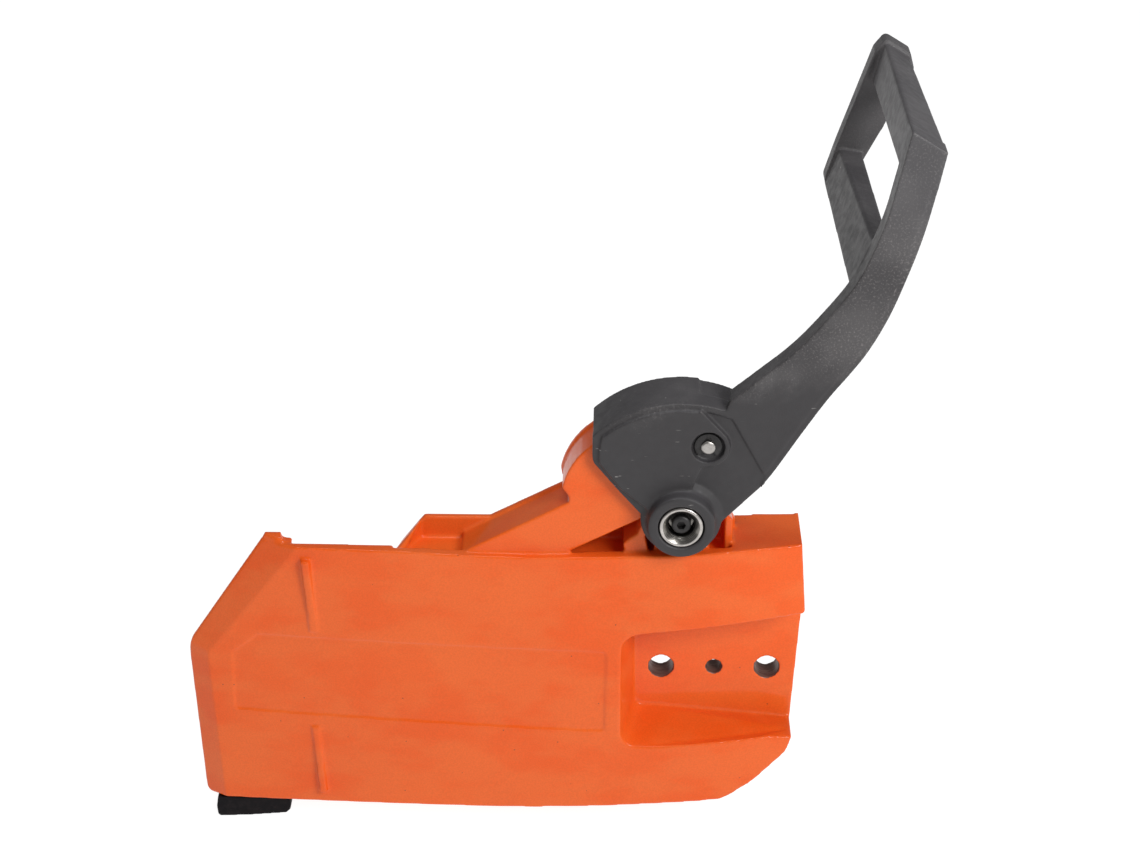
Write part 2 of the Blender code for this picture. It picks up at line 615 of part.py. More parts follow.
# ================================================================ hub hardware
def hub_hardware():
    sleeve = turned("pivot_sleeve", HUB_X, HUB_Z, [(-HUB_FACE + 0.2, SLEEVE / 2 - 0.5),
                                                  (-HUB_FACE + 0.7, SLEEVE / 2),
                                                  (-SLEEVE_END, SLEEVE / 2)], 32, "bright_steel")
    mouth = turned("sleeve_mouth", HUB_X, HUB_Z, [(-HUB_FACE - 1, SLEEVE_MOUTH / 2),
                                                 (-HUB_FACE + 0.2, SLEEVE_MOUTH / 2),
                                                 (-HUB_FACE + SLEEVE_CONE, SLEEVE_BORE / 2),
                                                 (-HUB_FACE + SLEEVE_DEPTH, SLEEVE_BORE / 2)], 32)
    through = turned("sleeve_through", HUB_X, HUB_Z, [(-HUB_FACE, PIVOT_THREAD / 2 + GAP),
                                                     (0, PIVOT_THREAD / 2 + GAP)], 20)
    carve(sleeve, mouth, through)
    head = -HUB_FACE + SLEEVE_DEPTH - GAP
    top = head - PIVOT_HEAD_HEIGHT
    screw = turned("pivot_screw", HUB_X, HUB_Z, [(top, PIVOT_HEAD / 2 - 0.4), (top + 0.4, PIVOT_HEAD / 2),
                                                (head, PIVOT_HEAD / 2)], 28, "black_steel")
    shank = turned("pivot_shank", HUB_X, HUB_Z, [(head - 1, PIVOT_THREAD / 2), (-1.0, PIVOT_THREAD / 2)], 20)
    socket = turned("pivot_socket", HUB_X, HUB_Z, [(top - 2, 1.6), (top + 2.4, 1.6)], 6)
    fuse(screw, shank)
    carve(screw, socket)
    washer_back = -GUARD_FACE + GUARD_PLATE + GAP
    tube("thrust_washer", HUB_X, HUB_Z, WASHER / 2, SLEEVE / 2 + GAP, washer_back,
         -FRONT_FACE + 0.8 - GAP, 32, "zinc_steel")
    nut = turned("pivot_nut", HUB_X, HUB_Z, [(-HOUSING_BACK + GAP, 5.6), (-1.4, 5.6)], 6, "zinc_steel")
    carve(nut, turned("nut_thread", HUB_X, HUB_Z, [(-20, PIVOT_THREAD / 2 + GAP),
                                                  (5, PIVOT_THREAD / 2 + GAP)], 20))


# ================================================================ brake linkage
def knee_geometry():
    """Knee pivot, knee pin and crosshead pin at rest, and the crosshead's travel."""
    pivot = Vector(along_channel(KNEE_STATION))
    engaged = CHANNEL_ANGLE + math.pi - KNEE_SWING
    knee = pivot + KNEE_ARM * Vector((math.cos(engaged), math.sin(engaged)))
    lift = KNEE_ARM * math.sin(KNEE_SWING)
    station = KNEE_STATION - KNEE_ARM * math.cos(KNEE_SWING) - math.sqrt(KNEE_LINK**2 - lift**2)
    travel = station - (KNEE_STATION - KNEE_ARM - KNEE_LINK)
    return pivot, knee, station, travel


def bar_between(name, a, b, half, near, far, finish=None):
    """Flat link with round ends at the points a and b."""
    angle = math.atan2(b[1] - a[1], b[0] - a[0])
    outline = arc(b[0], b[1], half, angle - math.pi / 2, angle + math.pi / 2, 6)
    outline += arc(a[0], a[1], half, angle + math.pi / 2, angle + 3 * math.pi / 2, 6)
    return prism(name, outline, -near, -far, finish)


def pin(name, at, diameter, near, far, finish):
    return turned(name, at[0], at[1], [(-near, diameter / 2 - 0.3), (-near + 0.3, diameter / 2),
                                       (-far - 0.3, diameter / 2), (-far, diameter / 2 - 0.3)], 16, finish)


def hole(name, at, radius):
    return turned(name, at[0], at[1], [(-BEYOND, radius), (20, radius)], 16)


def linkage():
    pivot, knee, station, travel = knee_geometry()
    guard_pin = Vector((LINK_PIN_X, LINK_PIN_Z))
    front, back = FRONT_FACE - HOUSING_WALL - 1.0, HOUSING_BACK + 2.2
    sheet, half, link_half = LINK_SHEET, 3.3, 3.2
    pivot_r, pin_r = KNEE_PIVOT / 2, LINKAGE_PIN / 2

    lever = bar_between("knee_lever", pivot, knee, half, front, front - sheet, "zinc_steel")
    away = (guard_pin - pivot).normalized()
    crank = bar_between("lever_crank", pivot, guard_pin + away * 0.8, 4.3, front - 0.05, front - sheet + 0.05)
    rear = bar_between("lever_rear", pivot, knee, half - 0.1, back + sheet, back)
    hub = turned("lever_hub", pivot.x, pivot.y, [(-front + 0.3, 3.9), (-back - 0.3, 3.9)], 20)
    fork_half = GUARD_PIN / 2 + RUN
    side = Vector((-away.y, away.x)) * fork_half
    fork = [tuple(guard_pin - away * 2.9 - side), tuple(guard_pin + away * 9 - side),
            tuple(guard_pin + away * 9 + side), tuple(guard_pin - away * 2.9 + side)]
    fuse(lever, crank, hub, rear)
    carve(lever, hole("lever_pivot_hole", pivot, pivot_r + RUN), hole("lever_knee_hole", knee, pin_r + RUN),
          prism("lever_fork", fork, -front - 2, -front + sheet + 1.5))
    pin("knee_pivot_pin", pivot, KNEE_PIVOT, FRONT_FACE - HOUSING_WALL - GAP, HOUSING_BACK + GAP, "bright_steel")
    pin("knee_pin", knee, LINKAGE_PIN, front, back, "bright_steel")

    crosshead = Vector(along_channel(station))
    link_near, link_far = front - sheet - 0.6, back + sheet + 0.6
    link = bar_between("knee_link", knee, crosshead, link_half, link_near, link_far, "zinc_steel")
    carve(link, hole("link_knee_hole", knee, pin_r + RUN), hole("link_cross_hole", crosshead, pin_r + RUN))
    pin("crosshead_pin", crosshead, LINKAGE_PIN, front - 0.4, back + 0.4, "bright_steel")

    head = channel_block("crosshead", station - 11, station + 4, -5.2, 5.2, front, back, "zinc_steel")
    slot = channel_block("crosshead_slot", station - 5.0, station + 9, -7, 7, link_near + 0.4, link_far - 0.4)
    play = travel * 0.28
    pin_slot = bar_between("crosshead_pin_slot", along_channel(station - play), along_channel(station),
                           pin_r + RUN, 40, -10)
    bore = channel_bar("crosshead_bore", station - 20, station - 4.8, ROD / 2 + GAP, CHANNEL_DEPTH, 16)
    carve(head, slot, pin_slot, bore)

    spring_end = station - 11 - GAP
    seat = channel_block("spring_seat", SEAT_STATION, SEAT_STATION + 2, -5.6, 5.6,
                         FRONT_FACE - HOUSING_WALL - GAP, HOUSING_BACK + GAP, "zinc_steel")
    carve(seat, channel_bar("seat_bore", SEAT_STATION - 5, SEAT_STATION + 5, ROD / 2 + 0.8, CHANNEL_DEPTH, 16))
    channel_bar("brake_spring", SEAT_STATION + 2 + GAP, spring_end, SPRING_OUTER / 2, CHANNEL_DEPTH, 24,
                "spring_steel", SPRING_INNER / 2)
    rod = channel_bar("pull_rod", LOOP_FRONT, station - 5.4, ROD / 2, CHANNEL_DEPTH, 16, "zinc_steel")
    fuse(rod, turned("rod_bar", *along_channel(LOOP_FRONT), [(-CHANNEL_DEPTH - 5.4, 1.7),
                                                            (-CHANNEL_DEPTH + 5.4, 1.7)], 16))


# ================================================================ band and small parts
def brake_band():
    radius = band_radius()
    half = BAND_THICKNESS / 2
    outer, inner = radius + half, radius - half
    leave = CHANNEL_ANGLE + math.pi / 2
    near = CHANNEL_DEPTH + BAND_WIDTH / 2
    far = CHANNEL_DEPTH - BAND_WIDTH / 2
    anchor = band_anchor()
    turn_end = BAND_ANCHOR + 2 * math.pi
    outline = [along_channel(LOOP_REAR - 2.6, half), *arc(DRUM_X, DRUM_Z, outer, leave, turn_end, 44),
               *arc(DRUM_X, DRUM_Z, inner, turn_end, leave, 44), along_channel(LOOP_REAR - 2.6, -half)]
    band = prism("brake_band", outline, -near, -far, "spring_steel")
    loop = bar_between("band_loop", along_channel(LOOP_REAR), along_channel(LOOP_FRONT), 3.4,
                       near - 0.1, far + 0.1)
    eye = turned("band_eye", *anchor, [(-near + 0.1, 3.4), (-far - 0.1, 3.4)], 18)
    fuse(band, loop, eye)
    loop_hole = bar_between("band_loop_hole", along_channel(LOOP_REAR), along_channel(LOOP_FRONT), 2.2,
                            40, -10)
    play = ROD / 2 + GAP
    rod_slot = channel_block("band_rod_slot", LOOP_FRONT - 0.6, LOOP_FRONT + 6, -play, play,
                             CHANNEL_DEPTH + play, CHANNEL_DEPTH - play)
    carve(band, loop_hole, rod_slot, hole("band_eye_hole", anchor, KNEE_PIVOT / 2 + GAP))
    pin("band_anchor_pin", anchor, KNEE_PIVOT, ANCHOR_SEAT - GAP, far - 1.0, "bright_steel")


def plate_screw_places():
    """Where the brake cover plate is screwed on: flange ends, tower and hub column."""
    return [(-96.5, DECK + 2.2), (-40.0, DECK + 2.8), (-46.4, 85.5), (HUB_X + 0.5, DECK + 2.8)]


def screw(name, x, z, head_at, tip_at, finish="zinc_steel"):
    """Cap screw along Y with its head towards the saw body and a hexagon socket in it."""
    radius = PLATE_SCREW / 2
    made = turned(name, x, z, [(tip_at, radius - 0.4), (tip_at + 0.4, radius), (head_at, radius),
                               (head_at, PLATE_SCREW_HEAD / 2), (head_at + 1.9, PLATE_SCREW_HEAD / 2),
                               (head_at + 2.2, PLATE_SCREW_HEAD / 2 - 0.4)], 18, finish)
    carve(made, turned(name + "_socket", x, z, [(head_at + 0.8, 1.5), (head_at + 4, 1.5)], 6))


def brake_cover_plate():
    back = -HOUSING_BACK + GAP
    outline = [
        (-108.4, FLANGE_FOOT + 0.6), (2.8, FLANGE_FOOT + 0.6), (2.8, 59.5), (-2.8, 72.5),
        *arc(HUB_X, HUB_Z, TOWER - 3.0, math.radians(49), math.radians(128), 8),
        *tower_side(-2.2), along_channel(4.5, CHANNEL_WIDTH / 2 - 1.3),
        along_channel(-25, CHANNEL_WIDTH / 2 - 1.6), (-101.0, COVER_TOP + 2.2)]
    plate = prism("brake_cover_plate", outline, back, back + COVER_PLATE, "black_steel")
    nut_hole = turned("plate_nut_hole", HUB_X, HUB_Z, [(-20, 7.2), (5, 7.2)], 24)
    holes = [turned(f"plate_hole_{i}", x, z, [(-20, PLATE_SCREW / 2 + GAP), (5, PLATE_SCREW / 2 + GAP)], 16)
             for i, (x, z) in enumerate(plate_screw_places(), 1)]
    carve(plate, nut_hole, *holes)
    for i, (x, z) in enumerate(plate_screw_places(), 1):
        screw(f"cover_plate_screw_{i}", x, z, back + COVER_PLATE + GAP, -HOUSING_BACK - FLANGE + 0.8)


def deflector_screw_places():
    middle = (DEFLECTOR_REAR + DEFLECTOR_FRONT) / 2
    return [middle - 8.5, middle + 8.5]


def chip_deflector():
    """Rubber strip under the rear of the cover, held by two screws from inside."""
    top = COVER_BOTTOM - GAP
    rear, front = DEFLECTOR_REAR, DEFLECTOR_FRONT
    low = top - DEFLECTOR_DROP
    outline = [(rear + 1.2, low), (rear + 13.0, low + 0.6), (front - 1.6, low + 1.7), (front, low + 3.3),
               (front + 0.4, top), (rear + 0.6, top), (rear, low + 4.4), (rear + 0.2, low + 1.0)]
    deflector = prism("chip_deflector", outline, DEFLECTOR_MIDDLE - 6.5, DEFLECTOR_MIDDLE + 6.5, "rubber")
    for i, x in enumerate(deflector_screw_places(), 1):
        upright = vertical_turned(f"deflector_screw_{i}", x, DEFLECTOR_MIDDLE, [
            (top - 4.5, 1.6), (top - 4.1, 2.0), (COVER_BOTTOM + WALL + GAP, 2.0),
            (COVER_BOTTOM + WALL + GAP, 3.5), (COVER_BOTTOM + WALL + 2.2, 3.5)], 18, "zinc_steel")
        carve(upright, vertical_turned(f"deflector_socket_{i}", x, DEFLECTOR_MIDDLE, [
            (COVER_BOTTOM + WALL + 1.0, 1.5), (COVER_BOTTOM + WALL + 5, 1.5)], 6))
        carve(deflector, vertical_turned(f"deflector_hole_{i}", x, DEFLECTOR_MIDDLE, [
            (top - 4.9, 2.0 + GAP), (top + 3, 2.0 + GAP)], 16))


def vertical_turned(name, x, y, profile, sides, finish=None):
    """Solid of stacked discs about an upright axis: profile is (height, radius) pairs."""
    made = bmesh.new()
    rings = [[made.verts.new((px, py, height)) for px, py in circle(x, y, radius, sides)]
             for height, radius in profile]
    for near, far in zip(rings, rings[1:]):
        for i in range(sides):
            j = (i + 1) % sides
            made.faces.new((near[i], near[j], far[j], far[i]))
    made.faces.new(rings[0])
    made.faces.new(rings[-1])
    return place(name, made, finish)


def guard_pin():
    """Pin fixed in the guard that works the knee lever, and the clip that keeps it in."""
    bore = GUARD_PIN / 2
    inner_face = GUARD_FACE - GUARD_PLATE
    clip_seat = GUARD_FACE - CLIP_SEAT
    lever_back = FRONT_FACE - HOUSING_WALL - 1.0 - LINK_SHEET
    turned("guard_link_pin", LINK_PIN_X, LINK_PIN_Z, [
        (-clip_seat - 2.6, bore - 0.4), (-clip_seat - 2.2, bore), (-clip_seat - 1.4, bore),
        (-clip_seat - 1.4, bore - 0.65), (-clip_seat, bore - 0.65), (-clip_seat, bore),
        (-inner_face + GAP, bore), (-inner_face + GAP, bore + 1.1), (-inner_face + 2.0, bore + 1.1),
        (-inner_face + 2.0, bore), (-lever_back + 1.0, bore)], 20, "bright_steel")
    opening = math.radians(40)
    inside = bore - 0.65 + GAP
    ring = arc(LINK_PIN_X, LINK_PIN_Z, PIN_POCKET - 1.0, opening - math.pi / 2, 1.5 * math.pi - opening, 18)
    ring += arc(LINK_PIN_X, LINK_PIN_Z, inside, 1.5 * math.pi - opening, opening - math.pi / 2, 18)
    prism("e_clip", ring, -clip_seat - 1.1, -clip_seat - GAP, "black_steel")


def main():
    clear_scene()
    clutch_cover()
    hand_guard()
    guard_pin()
    hub_hardware()
    linkage()
    brake_band()
    brake_cover_plate()
    chip_deflector()


main()
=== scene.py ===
"""Looks of a chainsaw's clutch cover, its chain brake and its front hand guard.

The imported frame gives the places. Lengths are in millimetres, and MM turns them into metres.
Outlines are (x, z) pairs seen from outside the cover, and depth runs along Y.
"""

import json
import math

import bmesh
import bpy
import numpy as np
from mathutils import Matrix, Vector


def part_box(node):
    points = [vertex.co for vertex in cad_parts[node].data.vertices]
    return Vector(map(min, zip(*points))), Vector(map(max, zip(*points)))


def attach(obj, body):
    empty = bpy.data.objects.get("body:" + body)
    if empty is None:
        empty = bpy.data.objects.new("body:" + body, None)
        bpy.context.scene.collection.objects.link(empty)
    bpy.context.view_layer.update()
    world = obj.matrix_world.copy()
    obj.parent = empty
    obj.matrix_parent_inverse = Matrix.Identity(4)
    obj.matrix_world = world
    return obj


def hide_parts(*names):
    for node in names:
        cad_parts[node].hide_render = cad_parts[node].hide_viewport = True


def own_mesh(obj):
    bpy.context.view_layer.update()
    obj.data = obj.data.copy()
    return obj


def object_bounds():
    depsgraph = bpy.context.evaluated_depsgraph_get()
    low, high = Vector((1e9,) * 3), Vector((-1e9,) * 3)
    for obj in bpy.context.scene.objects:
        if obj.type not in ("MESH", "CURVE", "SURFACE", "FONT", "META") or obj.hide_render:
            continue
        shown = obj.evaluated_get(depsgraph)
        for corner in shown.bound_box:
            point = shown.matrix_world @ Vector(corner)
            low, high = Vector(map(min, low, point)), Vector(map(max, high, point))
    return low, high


MM = 0.001
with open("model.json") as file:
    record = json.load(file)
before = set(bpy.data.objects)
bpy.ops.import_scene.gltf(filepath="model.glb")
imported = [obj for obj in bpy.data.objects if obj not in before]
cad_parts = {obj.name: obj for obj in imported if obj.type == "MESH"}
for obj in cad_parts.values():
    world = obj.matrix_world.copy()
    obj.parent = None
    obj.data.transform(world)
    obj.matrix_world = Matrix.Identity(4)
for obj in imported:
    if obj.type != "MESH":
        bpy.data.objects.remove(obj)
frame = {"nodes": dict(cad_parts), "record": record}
CAD_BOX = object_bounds()


# ================================================================ places read from the frame
def low(node):
    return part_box(node)[0] / MM


def high(node):
    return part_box(node)[1] / MM


def middle(node):
    return (low(node) + high(node)) / 2


HUB = middle("pivot_sleeve")
LINK_PIN = middle("guard_link_pin")
COVER_LOW, COVER_HIGH = low("clutch_cover"), high("clutch_cover")
GUARD_NEAR, GUARD_FAR = low("hand_guard").y, high("hand_guard").y
BOSS_RADIUS = 11.5
HUB_RIM = 0.6  # chamfer of the boss
GUARD_FACE = GUARD_NEAR + 6.5  # the side plate's outer face
PLATE = 3.5
ARM = 9.0
HOOD_RADIUS = 43.6
HOOD_WALL = 2.2
HOOD_BACK = -6.5
HOOD_END = math.radians(134)
STUD_HALF_SPACING = 19.0
STUD_BORE = 4.5
CLAMP_THICKNESS = 10.0
CHANNEL_ANGLE = math.radians(28)
PANEL_DEPTH = 0.55
THROUGH = -60.0  # a cutter along Y starts out here
MOST_TRIANGLES = 190_000  # in one piece
PIN_RADIUS = 2.4
PIN_POCKET = 5.6
GUARD_BORE = 7.9
THREAD_HOLE = 2.8
SOCKET_RADIUS = 1.6


# ================================================================ mesh helpers
def new_object(name, made):
    """Object from a bmesh drawn in millimetres."""
    bmesh.ops.recalc_face_normals(made, faces=made.faces)
    bmesh.ops.scale(made, vec=(MM, MM, MM), verts=made.verts)
    mesh = bpy.data.meshes.new(name)
    made.to_mesh(mesh)
    made.free()
    obj = bpy.data.objects.new(name, mesh)
    bpy.context.scene.collection.objects.link(obj)
    return obj


def skin(name, rings, closed_loop=False):
    """Closed mesh through rings of points; a closed loop joins the last ring to the first."""
    made = bmesh.new()
    rows = [[made.verts.new(point) for point in ring] for ring in rings]
    pairs = list(zip(rows, rows[1:]))
    if closed_loop:
        pairs.append((rows[-1], rows[0]))
    else:
        made.faces.new(rows[0])
        made.faces.new(rows[-1])
    count = len(rows[0])
    for near, far in pairs:
        for i in range(count):
            j = (i + 1) % count
            made.faces.new((near[i], near[j], far[j], far[i]))
    return new_object(name, made)


def loft(name, sections):
    return skin(name, [[(x, depth, z) for x, z in outline] for outline, depth in sections])


def prism(name, outline, start, end):
    return loft(name, [(outline, start), (outline, end)])


def arc(x, z, radius, start, end, steps):
    turn = (end - start) / steps
    return [
        (x + radius * math.cos(start + turn * i), z + radius * math.sin(start + turn * i))
        for i in range(steps + 1)
    ]


def circle(x, z, radius, sides):
    return arc(x, z, radius, 0, 2 * math.pi * (1 - 1 / sides), sides - 1)


def turned(name, centre, profile, sides=96):
    """Stacked discs about an axis along Y through a centre: (depth, radius) pairs."""
    return loft(name, [(circle(centre.x, centre.z, radius, sides), depth)
                       for depth, radius in profile])


def ring_solid(name, centre, profile, sides=96):
    """Ring about an axis along Y, with its section as a closed list of (depth, radius) pairs."""
    rings = [[(x, depth, z) for x, z in circle(centre.x, centre.z, radius, sides)]
             for depth, radius in profile]
    return skin(name, rings, closed_loop=True)


def rounded(corners, steps=5):
    """Outline from (x, z, radius) corners."""
    outline = []
    for i, (x, z, radius) in enumerate(corners):
        here = Vector((x, z))
        back = (Vector(corners[i - 1][:2]) - here).normalized()
        ahead = (Vector(corners[(i + 1) % len(corners)][:2]) - here).normalized()
        reach = radius / math.tan(back.angle(ahead) / 2)
        first, last = here + back * reach, here + ahead * reach
        for k in range(steps + 1):
            t = k / steps
            outline.append(tuple((1 - t) ** 2 * first + 2 * t * (1 - t) * here + t * t * last))
    return outline


def curve_through(points, steps=6):
    """Smooth line through points (Catmull-Rom), both ends included."""
    line = [Vector(p) for p in points]
    line = [2 * line[0] - line[1], *line, 2 * line[-1] - line[-2]]
    made = []
    for a, b, c, d in zip(line, line[1:], line[2:], line[3:]):
        for k in range(steps):
            t = k / steps
            made.append(tuple(0.5 * (2 * b + (c - a) * t + (2 * a - 5 * b + 4 * c - d) * t * t
                                     + (3 * b - a - 3 * c + d) * t ** 3)))
    made.append(tuple(line[-2]))
    return made


def add_booleans(obj, others, operation):
    for other in others:
        modifier = obj.modifiers.new(other.name, "BOOLEAN")
        modifier.operation = operation
        modifier.solver = "EXACT"
        modifier.object = other


def settle(obj):
    """Applies the modifiers, and removes the cutters that they used."""
    used = [m.object for m in obj.modifiers if m.type == "BOOLEAN"]
    graph = bpy.context.evaluated_depsgraph_get()
    mesh = bpy.data.meshes.new_from_object(obj.evaluated_get(graph))
    obj.modifiers.clear()
    obj.data = mesh
    for other in used:
        bpy.data.objects.remove(other)
    return obj


def shaped(obj, add=(), cut=()):
    add_booleans(obj, add, "UNION")
    add_booleans(obj, cut, "DIFFERENCE")
    return settle(obj)


def edge_curvature(mesh, rings):
    """Stores how far each point stands out of its neighbours: over 0 on outer edges."""
    count = len(mesh.vertices)
    points = np.empty(count * 3)
    mesh.vertices.foreach_get("co", points)
    points = points.reshape(-1, 3)
    normals = np.empty(count * 3)
    mesh.vertex_normals.foreach_get("vector", normals)
    ends = np.empty(len(mesh.edges) * 2, np.int32)
    mesh.edges.foreach_get("vertices", ends)
    ends = ends.reshape(-1, 2)
    degree = np.bincount(ends.ravel(), minlength=count)

    def around(values):
        total = (np.bincount(ends[:, 0], values[ends[:, 1]], count)
                 + np.bincount(ends[:, 1], values[ends[:, 0]], count))
        return total / degree

    pull = np.stack([around(points[:, k]) for k in range(3)], axis=1) - points
    step = np.linalg.norm(points[ends[:, 0]] - points[ends[:, 1]], axis=1).mean()
    value = -(pull * normals.reshape(-1, 3)).sum(1) / step
    for _ in range(rings):
        value = 0.5 * value + 0.5 * around(value)
    attribute = mesh.attributes.new("edge", "FLOAT", "POINT")
    attribute.data.foreach_set("value", value.astype(np.float32))


def cast(obj, voxel, smoothing, most_triangles, corners=()):
    """Rounds every edge a little, as on a casting or a moulding, and stores the curvature."""
    remesh = obj.modifiers.new("remesh", "REMESH")
    remesh.mode = "VOXEL"
    remesh.voxel_size = voxel * MM
    settle(obj)
    round_corners(obj.data, corners)
    soften = obj.modifiers.new("soften", "SMOOTH")
    soften.factor = 0.5
    soften.iterations = smoothing
    settle(obj)
    edge_curvature(obj.data, 2)
    triangles = 2 * len(obj.data.polygons)
    if triangles > most_triangles:
        thin = obj.modifiers.new("thin", "DECIMATE")
        thin.ratio = most_triangles / triangles
        settle(obj)
    obj.data.shade_smooth()
    return obj


def crisp(obj, bevel=0.25, angle=math.radians(32)):
    """Small machined piece: a fine bevel on its sharp edges, smooth elsewhere."""
    edges = obj.modifiers.new("edges", "BEVEL")
    edges.width = bevel * MM
    edges.segments = 2
    edges.limit_method = "ANGLE"
    edges.angle_limit = angle
    edges.use_clamp_overlap = True
    settle(obj)
    obj.data.shade_smooth()
    obj.data.set_sharp_from_angle(angle=angle)
    return obj


def copy_of(node, name):
    """New object with a CAD node's shape, its doubled points joined."""
    made = bmesh.new()
    made.from_mesh(frame["nodes"][node].data)
    bmesh.ops.remove_doubles(made, verts=made.verts, dist=1e-6)
    mesh = bpy.data.meshes.new(name)
    made.to_mesh(mesh)
    made.free()
    obj = bpy.data.objects.new(name, mesh)
    bpy.context.scene.collection.objects.link(obj)
    return obj


def body_of(node):
    bodies = frame["record"]["behaviour"]["bodies"]
    return next(body for body, nodes in bodies.items() if node in nodes)


def finish_piece(obj, node, material):
    """The piece takes a CAD node's place, body and material slot."""
    obj.data.materials.clear()
    obj.data.materials.append(material)
    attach(obj, body_of(node))
    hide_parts(node)
    return obj


# ================================================================ material helpers
class Nodes:
    """A material's node tree, with short calls to add to it."""

    def __init__(self, name):
        self.material = bpy.data.materials.new(name)
        self.material.use_nodes = True
        self.tree = self.material.node_tree
        self.shader = self.tree.nodes["Principled BSDF"]
        self.place = self.add("ShaderNodeTexCoord").outputs["Object"]

    def add(self, kind, **settings):
        made = self.tree.nodes.new(kind)
        for key, value in settings.items():
            setattr(made, key, value)
        return made

    def put(self, socket, value):
        if isinstance(value, bpy.types.NodeSocket):
            self.tree.links.new(value, socket)
        elif isinstance(value, tuple) and len(value) == 3 and socket.type == "RGBA":
            socket.default_value = (*value, 1.0)
        else:
            socket.default_value = value

    def set(self, **values):
        for key, value in values.items():
            self.put(self.shader.inputs[key.replace("_", " ")], value)

    def math(self, operation, a, b=0.0, c=0.0):
        made = self.add("ShaderNodeMath", operation=operation)
        for socket, value in zip(made.inputs, (a, b, c)):
            self.put(socket, value)
        return made.outputs[0]

    def noise(self, size, detail=2.0, roughness=0.5, stretch=None, place=None):
        """Noise whose features are about this many millimetres across."""
        made = self.add("ShaderNodeTexNoise")
        place = place or self.place
        if stretch:
            mapping = self.add("ShaderNodeMapping")
            self.put(mapping.inputs["Vector"], place)
            mapping.inputs["Scale"].default_value = stretch
            place = mapping.outputs["Vector"]
        self.put(made.inputs["Vector"], place)
        made.inputs["Scale"].default_value = 1 / (size * MM)
        made.inputs["Detail"].default_value = detail
        made.inputs["Roughness"].default_value = roughness
        return made.outputs["Fac"]

    def spots(self, cell):
        """Voronoi cells of this many millimetres: distance to the centre, and a random value."""
        made = self.add("ShaderNodeTexVoronoi")
        self.put(made.inputs["Vector"], self.place)
        made.inputs["Scale"].default_value = 1 / (cell * MM)
        separate = self.add("ShaderNodeSeparateColor")
        self.put(separate.inputs[0], made.outputs["Color"])
        return made.outputs["Distance"], separate.outputs[0]

    def between(self, value, start, end, low_value=0.0, high_value=1.0):
        """Value mapped smoothly from start..end onto low..high, and clamped."""
        made = self.add("ShaderNodeMapRange", interpolation_type="SMOOTHSTEP")
        for socket, number in zip(made.inputs, (value, start, end, low_value, high_value)):
            self.put(socket, number)
        return made.outputs[0]

    def mix(self, share, a, b):
        made = self.add("ShaderNodeMix", data_type="RGBA")
        self.put(made.inputs[0], share)
        self.put(made.inputs[6], a)
        self.put(made.inputs[7], b)
        return made.outputs[2]

    def attribute(self, name):
        return self.add("ShaderNodeAttribute", attribute_name=name).outputs["Fac"]

    def axis(self, index):
        separate = self.add("ShaderNodeSeparateXYZ")
        self.put(separate.inputs[0], self.place)
        return separate.outputs[index]

    def bump(self, height, depth, strength=1.0, onto=None):
        """Bump of this many millimetres; onto is another bump that it adds to."""
        made = self.add("ShaderNodeBump")
        made.inputs["Strength"].default_value = strength
        made.inputs["Distance"].default_value = depth * MM
        self.put(made.inputs["Height"], height)
        if onto is not None:
            self.put(made.inputs["Normal"], onto)
        return made.outputs[0]


# ================================================================ materials
def orange_paint():
    """Glossy orange over a die casting: a milky film in clouds, dark specks, painted highlights
    along the outer edges, painted shade in the hollows.
    """
    n = Nodes("orange_paint_fine")
    clouds = n.between(n.noise(19, 4.0, 0.55, stretch=(0.7, 1.0, 1.35)), 0.40, 0.62)
    colour = n.mix(clouds, (0.772, 0.122, 0.018), (0.770, 0.096, 0.008))
    spread = n.between(n.noise(46, 2.0, 0.5), 0.40, 0.68)
    colour = n.mix(n.math("MULTIPLY", spread, 0.5), colour, (0.800, 0.135, 0.020))
    grain = n.between(n.noise(0.6, 2.0, 0.6), 0.3, 0.7, 0.95, 1.05)
    tint = n.add("ShaderNodeHueSaturation")
    n.put(tint.inputs["Value"], grain)
    n.put(tint.inputs["Color"], colour)
    distance, random = n.spots(5.0)
    dot = n.math("MULTIPLY", n.math("LESS_THAN", distance, 0.05),
                 n.math("GREATER_THAN", random, 0.72))
    colour = n.mix(n.math("MULTIPLY", dot, 0.7), tint.outputs[0], (0.09, 0.03, 0.02))
    edge = n.attribute("edge")
    # painted highlight: outer edges are turned pale cream where the top light would glint
    edge_wear_and_highlight = n.between(edge, 0.13, 0.32)
    colour = n.mix(n.math("MULTIPLY", edge_wear_and_highlight, 0.50), colour, (0.95, 0.36, 0.16))
    # painted shade: hollows and creases are darkened towards deep red
    painted_hollow_shade = n.between(edge, -0.05, -0.30)
    colour = n.mix(n.math("MULTIPLY", painted_hollow_shade, 0.22), colour, (0.46, 0.035, 0.004))
    n.set(Base_Color=colour, Roughness=n.between(n.noise(12, 3.0), 0.3, 0.7, 0.32, 0.42))
    n.set(Specular_IOR_Level=0.12, Coat_Weight=0.34, Coat_Roughness=0.09)
    peel = n.bump(n.noise(2.4, 2.0, 0.5), 0.05, 0.35)
    fine = n.bump(n.noise(0.5, 2.0, 0.6), 0.01, 0.4, onto=peel)
    n.set(Normal=fine)
    return n.material


def bare_casting():
    """Machined magnesium inside the stud holes, brown with age."""
    n = Nodes("bare_casting")
    rings = n.noise(0.8, 3.0, 0.6, stretch=(0.15, 1.0, 0.15))
    colour = n.mix(n.between(rings, 0.35, 0.65), (0.15, 0.060, 0.045), (0.24, 0.13, 0.10))
    n.set(Base_Color=colour, Roughness=0.45, Metallic=0.35)
    n.set(Normal=n.bump(rings, 0.08, 0.6))
    return n.material


